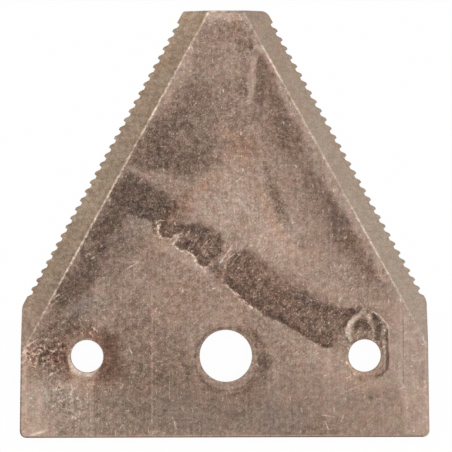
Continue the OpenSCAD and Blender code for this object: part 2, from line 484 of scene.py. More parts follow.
whole_box = (*outline.min(axis=0), *outline.max(axis=0))
fields = []
for size in sorted({GRID, LEFT_GRID, CENTRE_GRID, GALL_GRID, POCKET_GRID}):
    field = triangle_lattice(size, whole_box if size == GRID else FINE_BOX)
    fields.append(field[zone_grid(field) == size])
lattice = np.vstack(fields)
for side in (0, 1):
    lattice = lattice[np.abs(arris_distance(lattice, side)) > ROW_OFFSETS[-1] + GRID / 2]
for x1, y1, x2, y2, width, _ in ALL_SCRATCHES:
    away = path_distance(lattice, np.array([(x1, y1), (x2, y2)]), closed=False)[0]
    lattice = lattice[away > SCRATCH_ROOM * width]
print("lattice of", len(lattice), "points from", len(fields), "sizes")

# %% [markdown]
# ## Weaving the skin
# A constrained Delaunay triangulation joins all these points. It keeps the loops of the opening as edges,
# and adds no points of its own, so the skin fits the kept faces point for point. Triangles that would close
# a hole are left out.

# %% Weave the skin into the opening
OUTLINE_ROOM = 0.1
HOLE_ROOM = 0.08
INSIDE_HOLE = 0.995
ALL_TRIANGLES = 1
SAME_POINT = 1e-6

candidates = np.vstack([lattice, np.array(arris_rows), scratch_points])
candidates = candidates[inside(candidates, outline)]
keep = path_distance(candidates, outline)[0] > OUTLINE_ROOM
for x, y, r in holes.values():
    keep &= np.hypot(candidates[:, 0] - x, candidates[:, 1] - y) > r + HOLE_ROOM
woven_points = [Vector(p) for p in np.vstack([*loop_points, candidates[keep]])]

starts = np.cumsum([0] + [len(p) for p in loop_points])
seams = [(int(s + i), int(s + (i + 1) % len(p))) for s, p in zip(starts, loop_points) for i in range(len(p))]
joined = geometry.delaunay_2d_cdt(woven_points, seams, [], ALL_TRIANGLES, SAME_POINT)
skin_points = np.array([tuple(p) for p in joined[0]])
came_from = [ids[0] if ids else -1 for ids in joined[3]]
triangles = np.array([f for f in joined[2] if len(f) == 3])
middles = skin_points[triangles].mean(axis=1)
for x, y, r in holes.values():
    solid_here = np.hypot(middles[:, 0] - x, middles[:, 1] - y) > r * INSIDE_HOLE
    triangles = triangles[solid_here]
    middles = middles[solid_here]
print("skin has", len(skin_points), "points and", len(triangles), "triangles")

# %% [markdown]
# ## Stains, rubbed places and rust
# Old steel wears one skin of oxide: thick and dark where grease burnt on, thin and bright where hay rubbed
# it. So one number, the tone, says nearly all about the colour of a place: -1 is dark, 0 the common tan and
# 1 bright. A second, the warmth, leans it towards rust or towards grey. Both are painted the way a painter
# lays washes, the broad ones first. An image texture would be the usual way, but washes are written in
# millimetres, stay sharp at any size, and can be changed one by one. A wash is its tone, its warmth, the
# softness of its edge, and a stroke. Each point of a stroke has x, y, half width and strength. The upper
# part comes first: it is stained on the left and below, and lighter at the tip and along the left arris.

# %% Washes of the upper part
UPPER_WASHES = [
    (-0.42, 0, 0.9, [(-5.5, 46.5, 3, 0.6), (-8.8, 41.5, 4.3, 0.9), (-11.4, 38, 4.3, 1), (-6, 37, 4, 0.9)]),
    (-0.2, 0, 0.9, [(-2, 45, 4, 0.6), (3, 42, 3.5, 0.5), (8, 40, 4, 0.7)]),
    (0.35, 0, 0.8, [(-4.6, 60, 0.8, 0.6), (-7.4, 54.2, 1, 0.8), (-10.9, 48.2, 0.9, 1),
        (-12.7, 45, 0.8, 0.9), (-14.2, 42.6, 0.4, 0.4)]),
    (-0.45, 0, 0.9, [(-4.2, 38.6, 1.5, 0.8)]),
    (-0.45, 0, 0.8, [(-13.6, 40.8, 1.2, 0.8)]),
    (0.2, 0, 0.9, [(5, 41, 1.4, 0.7), (7, 37.5, 1.6, 0.6)]),
    (-0.2, 0, 0.9, [(3.4, 57.5, 1.6, 0.8), (3.6, 54.6, 1, 0.7)]),
    (-0.25, 0.1, 0.8, [(3.2, 49, 0.9, 0.8)]),
    (-0.15, 0, 0.9, [(6.5, 50, 3, 0.8), (9, 44, 3.5, 0.8)]),
    (-0.55, 0, 0.7, [(-17, 35.6, 1, 0.5), (-13, 35.4, 1.8, 0.8), (-9, 34.3, 1.7, 0.8),
        (-5.5, 34, 1.2, 0.4)]),
    (0.6, 0, 0.6, [(-5.2, 62.2, 1.2, 1), (-2.5, 62.4, 1, 0.9), (3.5, 62.5, 0.8, 0.9)]),
]
print(len(UPPER_WASHES), "washes of the upper part")

# %% [markdown]
# ## The rubbed middle
# Hay slid over the middle of the plate and kept it brighter than the rest, right down to the smear and past
# it. A few very broad, soft strokes are enough for this.

# %% Washes of the middle
MIDDLE_WASHES = [
    (0.48, 0.05, 0.9, [(1, 29.6, 4.5, 0.8), (5.4, 23.9, 5, 0.9), (13.7, 17.5, 3, 0.8)]),
    (0.3, 0, 0.8, [(-4.2, 27.3, 2, 0.9)]),
    (0.3, -0.1, 0.7, [(8, 18, 1.4, 0.2), (15, 14.8, 1.5, 0.5), (21, 11.8, 1.3, 0.8), (28, 9.8, 1, 0.6)]),
    (0.14, 0, 0.9, [(-12, 12, 5, 0.8), (0, 8, 2.5, 0.8), (12, 0, 3, 0.8)]),
]
print(len(MIDDLE_WASHES), "washes of the middle")

# %% [markdown]
# ## The left side
# A strip of burnt grease follows the left arris. The smear starts there, and below it the stains run down
# to the rivet hole, where they turn to rust. Narrow strokes over broad ones give the strip its uneven
# depth.

# %% Washes of the left side
LEFT_WASHES = [
    (-0.7, -0.1, 0.7, [(-16.2, 33.6, 1.7, 0.9), (-19.2, 28.4, 2.2, 0.9), (-22.2, 21.8, 2.7, 0.9),
        (-25.6, 16, 2.7, 0.95), (-29.4, 10.8, 2.1, 1)]),
    (-0.3, -0.3, 0.9, [(-19.2, 21.4, 1.9, 0.8), (-16.6, 21, 1.5, 0.6)]),
    (0.1, 0.4, 0.8, [(-27.4, 18.6, 0.6, 0.8), (-26.4, 16.4, 0.8, 0.7)]),
    (0.2, 0, 0.7, [(-21.3, 29.6, 0.5, 0.8), (-20.9, 28.2, 0.5, 0.7)]),
    (0.18, 0.1, 0.7, [(-18, 34.4, 0.8, 0.8), (-14.5, 33.5, 1.1, 0.9), (-10, 32, 1.4, 0.9),
        (-5, 30.6, 1.6, 0.6)]),
    (0.5, 0, 0.8, [(-11.9, 20.6, 0.9, 0.4), (-8.9, 18.9, 1, 0.7), (-5.8, 17.2, 0.8, 0.7),
        (-3.2, 14.8, 0.7, 0.5)]),
    (-0.75, -0.1, 0.5, [(-17.3, 32.3, 1.3, 1), (-15.4, 31.5, 0.9, 0.8)]),
    (-0.74, 0, 0.5, [(-18.4, 30.6, 2, 0.9), (-15.2, 28.4, 2.6, 1), (-12.6, 26.9, 1.9, 1),
        (-11.2, 26, 0.9, 0.9)]),
    (-0.66, 0, 0.5, [(-14.2, 29.8, 1.5, 0.9), (-11.6, 28.6, 1.4, 0.9), (-9.6, 26.8, 1.2, 0.9),
        (-8.8, 25.8, 0.8, 0.8)]),
    (-0.75, -0.3, 0.4, [(-18.6, 27.4, 0.8, 0.8), (-15.6, 26.2, 1, 1), (-12.9, 25.2, 0.9, 1),
        (-11.6, 25, 0.8, 0.9)]),
    (-0.7, -0.3, 0.6, [(-9.6, 24.1, 0.7, 0.8), (-7.6, 23.3, 0.7, 0.9), (-5.5, 23.4, 0.6, 0.8)]),
    (-0.44, 0, 0.4, [(-2.3, 16, 0.75, 0.9), (-0.2, 14, 0.8, 0.9)]),
    (-0.4, -0.2, 0.6, [(-1, 16.8, 0.8, 0.7)]),
    (0.2, 0.9, 0.5, [(-0.5, 13.8, 0.35, 0.9), (0, 16.4, 0.3, 0.8)]),
    (-0.5, 0.2, 0.8, [(-30.5, 8, 1.4, 0.6), (-31.3, 4.6, 1.8, 0.7), (-26, 6, 1.4, 0.8)]),
    (-0.05, -0.9, 0.8, [(-28, 8.6, 1.3, 0.8), (-25, 9.4, 1.8, 0.9), (-22, 9.2, 1.4, 0.6)]),
    (-0.42, 0.5, 0.9, [(-34.3, 0.6, 2.8, 0.8), (-30.5, -0.5, 2.6, 0.9)]),
    (-0.55, 0.9, 0.8, [(-30.4, 2.4, 1.4, 0.9), (-29.8, 0, 1.1, 0.9), (-29.4, -2.6, 1, 0.8)]),
    (0.4, 0.2, 0.8, [(-29, -5.9, 1.1, 0.7), (-26, -5.4, 0.9, 0.9), (-24.5, -5, 0.8, 0.7)]),
    (-0.75, 0.4, 0.7, [(-33.6, 0.9, 0.9, 0.8), (-32.2, 0.6, 0.9, 0.8)]),
]
print(len(LEFT_WASHES), "washes of the left side")

# %% [markdown]
# ## Spots
# Between the broad stains lie small spots, dark where a drop dried and bright where something rubbed. Noise
# could strew them at random, but the eye knows the bold ones, so these are placed one by one all over the
# plate.

# %% Washes of the spots
SPOT_WASHES = [
    (0.5, 0.5, 0.8, [(1, 36.4, 1.1, 0.8)]),
    (0.55, 0, 0.8, [(-2.4, 25.2, 1, 0.7)]),
    (-0.1, 0, 0.8, [(13.6, 21.2, 1.2, 0.8), (14.6, 19.8, 1, 0.7)]),
    (-0.2, 0.1, 0.8, [(9.2, 28.4, 0.9, 0.7), (10.6, 25.2, 1, 0.7)]),
    (0.5, 0.1, 0.8, [(12, 16.2, 0.9, 0.6)]),
    (0.5, 0.1, 0.8, [(17, 13.2, 0.8, 0.6)]),
    (-0.85, -0.1, 0.7, [(-15.9, 32.9, 0.7, 0.8)]),
    (-0.85, -0.1, 0.7, [(-14, 29.4, 0.8, 0.8)]),
    (-0.6, 0, 0.8, [(-12, 37.2, 1.1, 0.7)]),
    (-0.5, 0, 0.8, [(-9.9, 41.6, 1.1, 0.7)]),
    (-0.55, -0.3, 0.8, [(-27, 7.2, 1, 0.7)]),
    (-0.3, 0, 0.8, [(7.6, 46.2, 1.2, 0.7), (4.2, 48, 1, 0.7)]),
    (0.6, 0, 0.6, [(30.4, 2, 0.4, 0.7), (30.4, -3, 0.4, 0.7)]),
    (0.1, 0.1, 0.8, [(21.6, 23.2, 0.9, 0.7)]),
    (0.55, 0.1, 0.7, [(-30.2, -5.2, 0.7, 0.7), (-28.6, -6.2, 0.7, 0.7)]),
    (-0.5, 0.4, 0.7, [(-33.8, 4.4, 0.7, 0.7)]),
    (-0.6, 0.3, 0.7, [(-33.9, -1, 0.8, 0.7)]),
    (-0.75, -0.2, 0.6, [(-13.6, 24.7, 0.5, 0.8), (-12.6, 22.6, 0.4, 0.7)]),
    (-0.45, 0, 0.7, [(12.6, 14.2, 0.7, 0.6)]),
    (-0.75, 0, 0.7, [(-24.5, 20.6, 0.8, 0.8)]),
    (-0.75, 0, 0.7, [(-26.6, 16.6, 0.7, 0.8)]),
    (0, 0.2, 0.8, [(-28.3, 17.3, 0.5, 0.8)]),
    (-0.3, 0.2, 0.8, [(-25.6, 13.2, 1, 0.7)]),
    (-0.2, 0.1, 0.8, [(-27.5, 10.4, 0.9, 0.7)]),
    (-0.42, 0.1, 0.8, [(-16.4, -2.6, 1.4, 0.7)]),
    (-0.3, 0, 0.9, [(2, -11.2, 2, 0.6), (9, -10.5, 2, 0.6)]),
]
print(len(SPOT_WASHES), "washes of spots")

# %% [markdown]
# ## Round the holes and along the base
# Rivets and the knife bar sat on this part. Damp crept in round them, so there is rust beside the left
# hole and a grey, even stain along the base. The centre hole has a dark ring round it.

# %% Washes of the holes and the base
BASE_WASHES = [
    (-0.75, 1, 0.8, [(-21.4, 2.4, 1.9, 0.9), (-20.6, -2.6, 2.3, 1)]),
    (-0.4, 0.6, 0.8, [(-26.5, 4.4, 1.2, 0.8), (-23, 4.2, 1.2, 0.7)]),
    (-0.28, 0.1, 0.9, [(-17, 7.5, 3, 0.6), (-15, 0, 4, 0.85), (-12.5, -4, 4.4, 0.9)]),
    (-0.3, 0.1, 0.8, [(-8.2, 2, 1.3, 0.6), (-7.4, -2.5, 1.4, 0.8), (-4.8, -6.4, 1, 0.6)]),
    (0.15, 0.3, 0.7, [(-6, 3.4, 0.7, 0.8), (-6.3, 0.2, 0.6, 0.7)]),
    (-0.45, 0.5, 0.7, [(-4.7, -3.6, 0.5, 0.8), (-2.6, -6, 0.5, 0.8), (0, -7.3, 0.6, 0.7),
        (2.4, -6.9, 0.6, 0.8)]),
    (0.4, 0.1, 0.9, [(16.5, 1, 1.6, 0.7), (20, -3, 2.4, 0.8), (25, -5.2, 1.8, 0.8), (29, -5, 1.4, 0.7)]),
    (-0.18, -0.3, 0.9, [(-19, -10, 4, 0.8), (-4, -10.5, 4.5, 0.9), (8, -10.5, 4.5, 0.8),
        (15, -12, 3.5, 0.7)]),
    (-0.35, 0.2, 0.8, [(5.6, 3, 0.6, 0.3), (6.9, -0.3, 1.3, 0.8), (6.4, -4, 1.5, 0.8),
        (3.4, -6.8, 1.3, 0.7)]),
    (-0.55, 0, 0.7, [(6.5, 1, 0.6, 0.7), (6.7, -2, 0.7, 0.9)]),
    (-0.4, 0.2, 0.7, [(1.8, 5.8, 0.5, 0.6), (4.6, 4.4, 0.6, 0.8), (5.8, 2.2, 0.5, 0.7)]),
    (-0.2, 0, 0.8, [(-27, -13.6, 1.4, 0.7), (-22, -13, 1.4, 0.6)]),
    (-0.35, 0, 0.7, [(-2.3, -8.8, 1, 0.7)]),
    (-0.35, 0, 0.7, [(1.4, -10.2, 1.3, 0.7)]),
    (-0.3, 0, 0.7, [(4, -8.4, 1.2, 0.7)]),
    (-0.3, 0, 0.7, [(26.7, -7.5, 0.7, 0.7)]),
]
print(len(BASE_WASHES), "washes of the holes and the base")

# %% [markdown]
# ## The right side
# The right side has its own strip of grease, narrower than the left one and broken in places, with a rubbed
# line between it and the arris. The corner at the base is the brightest part of the plate.

# %% Washes of the right side
RIGHT_WASHES = [
    (0.5, 0, 0.6, [(33.2, 8, 3.3, 0.9), (33.2, -3, 3.6, 0.9), (35.8, -9, 2.4, 0.9), (35.6, -13, 2.6, 0.9)]),
    (0.75, 0.1, 0.5, [(36.5, 8, 0.4, 0.7), (36.8, -13, 0.4, 0.8)]),
    (-0.34, 0.1, 0.4, [(7, 54.6, 1.1, 1), (7.2, 51, 1.6, 0.95), (7, 47.6, 1.9, 0.7)]),
    (-0.42, 0.1, 0.8, [(9.4, 46.5, 1.2, 0.5), (10.6, 43.5, 1.6, 0.7), (11.9, 39.1, 1.9, 0.75),
        (14.8, 34.3, 1.3, 0.45), (17.4, 30, 1.7, 0.75), (20, 25.6, 2.2, 0.75), (22.7, 20.8, 2.4, 0.9),
        (26, 15.6, 1.8, 0.6)]),
    (0.4, 0, 0.7, [(6.7, 56.6, 0.5, 0.8), (8.9, 51.8, 0.45, 0.7), (10.2, 49.2, 0.5, 0.7),
        (14.3, 41.4, 0.8, 0.8)]),
    (0.42, -0.1, 0.7, [(14.3, 41.4, 0.8, 0.8), (22, 27.5, 0.8, 0.75), (27, 18.6, 0.9, 0.8),
        (31.7, 10.1, 1, 0.8)]),
    (-0.35, 0.1, 0.7, [(7.2, 34.6, 0.7, 0.6), (8.7, 30.2, 0.9, 0.8), (9.7, 27, 0.7, 0.6)]),
    (0.2, -0.2, 0.8, [(6, 34.5, 0.7, 0.6), (7.2, 30.5, 0.8, 0.6)]),
    (-0.3, 0, 0.7, [(27.9, 12.7, 0.9, 0.7)]),
]
print(len(RIGHT_WASHES), "washes of the right side")

# %% [markdown]
# ## Touches laid last
# A painter steps back, looks again and sets a few last touches. These go over all of the above, from the
# left side to the right.

# %% Washes of the last touches
TOUCH_WASHES = [
    (-0.3, 0, 0.7, [(0.1, 49.5, 0.9, 0.7)]),
    (0.35, 0, 0.7, [(-0.2, 41.3, 0.8, 0.6)]),
    (0.3, 0, 0.7, [(2.5, 51.4, 0.6, 0.6)]),
    (0.48, 0, 0.4, [(5.1, 54.5, 0.5, 0.8), (4.9, 50, 0.55, 0.9), (4.5, 46.2, 0.45, 0.6)]),
    (-0.15, -0.8, 0.8, [(-25.6, 8.4, 1, 0.7), (-25, 6.8, 0.7, 0.6)]),
    (-0.5, 0.3, 0.7, [(-1.3, 35.8, 1, 0.9)]),
    (-0.1, 0.8, 0.8, [(-7.8, 29.4, 0.8, 0.7), (-8.2, 26.6, 1, 0.8)]),
    (0.05, 0.5, 0.5, [(-0.1, 20.6, 0.5, 0.8), (0, 18.6, 0.5, 0.9), (-0.2, 16.9, 0.4, 0.9)]),
    (0.1, 0.4, 0.8, [(-35.4, 0.8, 0.9, 0.7), (-35.2, -2, 0.8, 0.6)]),
    (-0.3, -0.5, 0.8, [(-25, 10.6, 1, 0.6)]),
    (-0.55, 0.5, 0.8, [(-28.6, 4.6, 0.9, 0.7), (-26.6, 5, 0.9, 0.7)]),
    (-0.45, 0.9, 0.8, [(-22.6, -4.1, 0.8, 0.7)]),
    (-0.3, 0.5, 0.8, [(-29.2, -4, 0.9, 0.7)]),
    (-0.55, 0.6, 0.8, [(-31.2, 2, 0.8, 0.6)]),
    (-0.25, -0.1, 0.9, [(-19, 18.4, 1.5, 0.6), (-20.2, 14.4, 2, 0.6)]),
    (-0.8, 0, 0.8, [(-11.6, 37.2, 1.4, 0.6)]),
    (-0.2, 0.1, 0.9, [(-14.6, 7, 1.6, 0.4), (-12, 1, 2.2, 0.5), (-9.2, 1.6, 1.6, 0.5)]),
    (-0.05, 0, 0.9, [(-23.4, -10.4, 1.4, 0.5), (-25.4, -12.6, 1.4, 0.5), (-30.8, -14, 1.2, 0.5)]),
    (-0.15, 0, 0.9, [(11.2, -8, 1.5, 0.6), (11.6, -4.6, 1.6, 0.6)]),
    (0.35, 0, 0.9, [(19.2, -10, 1.2, 0.6)]),
    (-0.25, 0.2, 0.9, [(11, -13.8, 1.2, 0.5), (19, -13.9, 1.2, 0.5)]),
    (0.55, 0.1, 0.8, [(-27, -6, 0.9, 0.6)]),
    (-0.3, 0, 0.8, [(15.2, 37.4, 1, 0.6)]),
    (-0.35, 0, 0.8, [(16.8, 26.2, 1, 0.7)]),
    (0, 0, 0.9, [(23.6, 13, 1.5, 0.5), (28.8, 12, 1.6, 0.6)]),
    (0.2, 0, 0.9, [(2.2, 32.2, 1.3, 0.6)]),
    (-0.5, 0, 0.9, [(-14.8, 38, 1, 0.6)]),
    (-0.6, 0, 0.9, [(-9.2, 42, 1.1, 0.6)]),
    (0.4, 0.1, 0.9, [(-3.2, 6.2, 1.2, 0.6), (-1, 6.4, 0.9, 0.5)]),
    (-0.25, 0.1, 0.8, [(-9, 4, 1.2, 0.6)]),
    (0.6, 0.1, 0.9, [(7, 26.2, 1.1, 0.6)]),
    (0.45, 0.1, 0.8, [(25.2, -4.6, 1, 0.6)]),
]
print(len(TOUCH_WASHES), "last touches")

# %% [markdown]
# ## The tip once more
# The tip and the upper part get a few more touches. All broad washes are then joined to one list, in the
# order in which they are laid, since a later one covers an earlier one.

# %% Washes of the tip
TIP_WASHES = [
    (-0.1, 0, 0.9, [(-5, 53.6, 1.3, 0.5), (-5.2, 51.2, 1.2, 0.5)]),
    (0.3, 0, 0.8, [(-7.2, 51.6, 0.9, 0.5), (-8, 49.6, 0.9, 0.5)]),
    (0.35, 0.1, 0.9, [(0.8, 55.4, 1.2, 0.35), (0.8, 53, 1.2, 0.5)]),
    (-0.45, 0, 0.8, [(3.2, 48.9, 1, 0.6)]),
    (-0.35, 0, 0.9, [(-3, 47.2, 1.1, 0.6)]),
    (-0.15, 0.2, 0.9, [(-1, 59.4, 1.2, 0.5), (1.6, 59, 1.2, 0.5), (3.4, 59.2, 0.9, 0.5)]),
    (0.5, -0.1, 0.6, [(5.2, 58.4, 0.35, 0.8), (6.3, 56.6, 0.4, 0.9), (7.1, 55, 0.3, 0.8)]),
    (-0.5, 0, 0.6, [(4.5, 57.6, 0.3, 0.7), (4.9, 56.2, 0.35, 0.8)]),
    (0.3, 0.2, 0.8, [(-1, 41, 0.9, 0.6)]),
    (0.3, 0.2, 0.8, [(5.2, 41, 1, 0.6)]),
    (-0.2, 0, 0.8, [(7, 41, 1, 0.6)]),
]
BROAD_WASHES = (UPPER_WASHES + MIDDLE_WASHES + LEFT_WASHES + SPOT_WASHES + BASE_WASHES + RIGHT_WASHES
                + TOUCH_WASHES + TIP_WASHES)
print(len(TIP_WASHES), "touches at the tip;", len(BROAD_WASHES), "broad washes in all")

# %% [markdown]
# ## Rust and grey
# Rust changes the hue of a place more than its tone. So these washes have a warmth and a stroke, and leave
# the tone alone: above 0 they lean towards rust, and below 0 towards grey.

# %% Washes of rust and grey
RUST_EDGE = 0.8
RUSTY_WASHES = [
    (0.35, [(-11, 48, 1.2, 0.7)]),
    (0.6, [(14.8, 17.2, 1.4, 0.7), (17.4, 19.4, 1.2, 0.7)]),
    (0.5, [(5.2, 16.2, 1.2, 0.6)]),
    (0.9, [(-22.4, -2.6, 0.8, 0.8)]),
    (-0.6, [(-17.4, 34.4, 1, 0.7)]),
    (-0.5, [(-13.8, 28.8, 1, 0.7)]),
    (-0.3, [(-3.4, 26.4, 1.2, 0.7)]),
    (-0.3, [(7.6, 45.4, 1.2, 0.7)]),
    (1.3, [(-21.4, 0, 0.9, 0.9), (-22.6, 2.8, 0.9, 0.9), (-25.4, 4, 0.7, 0.3), (-28.2, 2.8, 0.8, 0.5),
        (-29.4, 0, 0.9, 0.9), (-28.2, -2.8, 0.9, 0.9), (-25.4, -4, 0.9, 0.8), (-22.6, -2.8, 0.9, 0.9),
        (-21.4, 0, 0.9, 0.9)]),
    (-0.5, [(-5, 34, 1.5, 0.8)]),
    (-0.3, [(-22, 15, 2.5, 0.6), (-17, 15, 3, 0.5)]),
    (0.5, [(3, 39.5, 1.6, 0.7), (8, 39, 1.6, 0.7)]),
    (-0.35, [(35.5, 4, 1.5, 0.8), (35.5, -2, 1.5, 0.8)]),
    (1.2, [(-31.5, -1, 1.2, 0.9)]),
    (0.55, [(1.6, 61.2, 1.3, 0.9), (1.4, 58.5, 1.2, 0.6)]),
    (0.6, [(-13.5, 10, 0.3, 0.8), (-13.5, -12, 0.3, 0.8)]),
    (0.5, [(-15, 17, 2, 0.7), (-10.6, 23.2, 1.6, 0.9), (-7, 27.5, 1.2, 0.7)]),
    (0.35, [(-8, 11, 5, 0.7), (2, 9.5, 2.5, 0.7)]),
    (0.9, [(-29, 1, 0.8, 0.9), (-28, -3.2, 0.7, 0.9), (-25, -4.4, 0.7, 0.8), (-22, -3.2, 0.7, 0.9)]),
    (0.8, [(-11, 25, 1, 0.7), (-8, 28, 1.2, 0.9), (-3.5, 31.5, 1, 0.8), (-1, 33, 0.8, 0.4)]),
    (0.9, [(0.5, 40.5, 1.5, 0.8), (3.2, 38, 1.6, 0.9), (3.6, 35.5, 1, 0.6)]),
    (0.5, [(33.5, -9, 2.6, 0.8)]),
    (0.5, [(-15, -7, 2.4, 0.8)]),
    (0.6, [(31, 6.5, 1.4, 0.8)]),
    (0.5, [(-37, 8, 0.9, 0.8), (-37, -13, 0.9, 0.8)]),
    (0.8, [(6.2, 30, 0.9, 0.7), (9, 24.5, 0.9, 0.9), (12, 19.5, 0.9, 0.7)]),
    (1.1, [(-0.2, 15.2, 1, 1)]),
    (0.4, [(8, 52, 1, 0.6), (9, 47, 1, 0.6)]),
    (0.5, [(24.5, -5, 1.6, 0.8), (27, -5.2, 1.4, 0.6)]),
    (0.4, [(22.5, 20.5, 2, 0.8)]),
    (0.5, [(-26, -5, 2, 0.8)]),
    (-0.4, [(-18, -9.5, 3, 0.8), (0, -12.5, 3, 0.8), (12, -12.5, 3, 0.8)]),
    (-0.5, [(-16.5, 26, 1.6, 0.8)]),
]
print(len(RUSTY_WASHES), "washes of rust and grey")

# %% [markdown]
# ## Places with straight borders
# In the lower left corner the stain has straight borders, as if a plate had lain on it. Strokes have round
# ends, so a box does this better: x and y of two corners, the softness of the border, tone, warmth and
# strength.

# %% Boxes in the lower left corner
BOXES = [
    (-38.5, -16, -24.2, -5.3, 0.5, 0.22, -0.2, 0.85),
    (-38.5, -16, -36.3, 1.5, 0.4, 0.65, 0.3, 0.8),
    (-38.5, -16, -33.4, -4.8, 1, 0.6, 0, 0.8),
    (-38.5, -16, -32, -11, 1.2, 0.5, 0.2, 0.7),
    (-24.1, -11, -16, -5.2, 0.6, -0.2, 0.1, 0.5),
    (-31.5, -9.6, -28.5, -7.2, 1, 0, -0.2, 0.6),
    (-31, -15.5, -25, -11, 1.2, 0, -0.1, 0.6),
]
print(len(BOXES), "boxes")

# %% [markdown]
# ## Paint in the worn pocket
# Something round, perhaps a washer, wore a shallow pocket above the right hole. Its floor is dark, and a
# bright crescent lies on its left. Its upper and right rim is bright, partly rubbed and partly a painted
# highlight where the edge catches the light, and thin dark lines just inside its right wall are painted
# shadow of that wall. These strokes are thin, so noise will move them only a little.

# %% Washes of the pocket
POCKET_WASHES = [
    (-0.2, 0.2, 0.6, [(23.8, 3.9, 0.7, 0.7), (26.6, 3.8, 0.7, 0.7)]),
    (-0.85, 0.1, 0.5, [(27.2, 7.5, 0.5, 0.9), (27.8, 6, 0.65, 0.9), (27.8, 4.2, 0.65, 0.95),
        (27.7, 3.1, 0.4, 0.8)]),
    (-0.8, 0.2, 0.5, [(24.1, 5.4, 0.7, 0.8), (25, 6.2, 0.8, 0.9), (25.8, 5.2, 0.7, 0.8)]),
    (-0.7, 0.1, 0.4, [(22.1, 3.3, 0.25, 0.7), (22.5, 2.5, 0.25, 0.6)]),
    # A thin painted shadow just inside the right wall.
    (-0.7, 0.1, 0.4, [(29.4, 4.8, 0.24, 0.8), (29.55, 0, 0.26, 0.8), (29.5, -1.7, 0.28, 0.8),
        (28.7, -3.3, 0.3, 0.7), (27.2, -4, 0.35, 0.5)]),
    (-0.5, 0.1, 0.4, [(28.5, 2.6, 0.14, 0.8), (28.6, -1, 0.14, 0.7)]),
    (-0.15, 0.3, 0.4, [(24.1, -3.9, 0.25, 0.4), (25.9, -4.8, 0.25, 0.5)]),
    # A thin painted highlight along the upper and right rim.
    (0.9, 0, 0.5, [(26.5, 8.2, 0.14, 0.8), (28.4, 7.2, 0.16, 0.9), (29.4, 5.9, 0.16, 0.9),
        (29.8, 4.6, 0.14, 0.7), (29.9, 1, 0.14, 0.4)]),
    (0.7, -0.1, 0.5, [(25.3, 8, 0.4, 0.8), (26.3, 6.7, 0.28, 0.7), (26.8, 5, 0.2, 0.5),
        (27.3, 3.5, 0.18, 0.3)]),
    (0.8, -0.3, 0.5, [(25, 7.9, 0.4, 0.8), (23.2, 6.9, 0.55, 0.9), (22.4, 5.5, 0.6, 0.95),
        (22.3, 4, 0.55, 0.9), (23, 3.1, 0.3, 0.6)]),
    (0.5, 0, 0.5, [(28.9, 2.8, 0.22, 0.6), (28.95, -2.6, 0.25, 0.6)]),
]
print(len(POCKET_WASHES), "washes of the pocket")

# %% [markdown]
# ## Paint in the smear
# Torn metal traps dirt, so the smear is darker than the rest and blotched: rusty along its middle, and worn
# through to grey where its upper edge fades. Just inside its sharp edge it is black, partly dirt and partly
# painted shadow of the torn wall. A few curls of burr are noted with it.

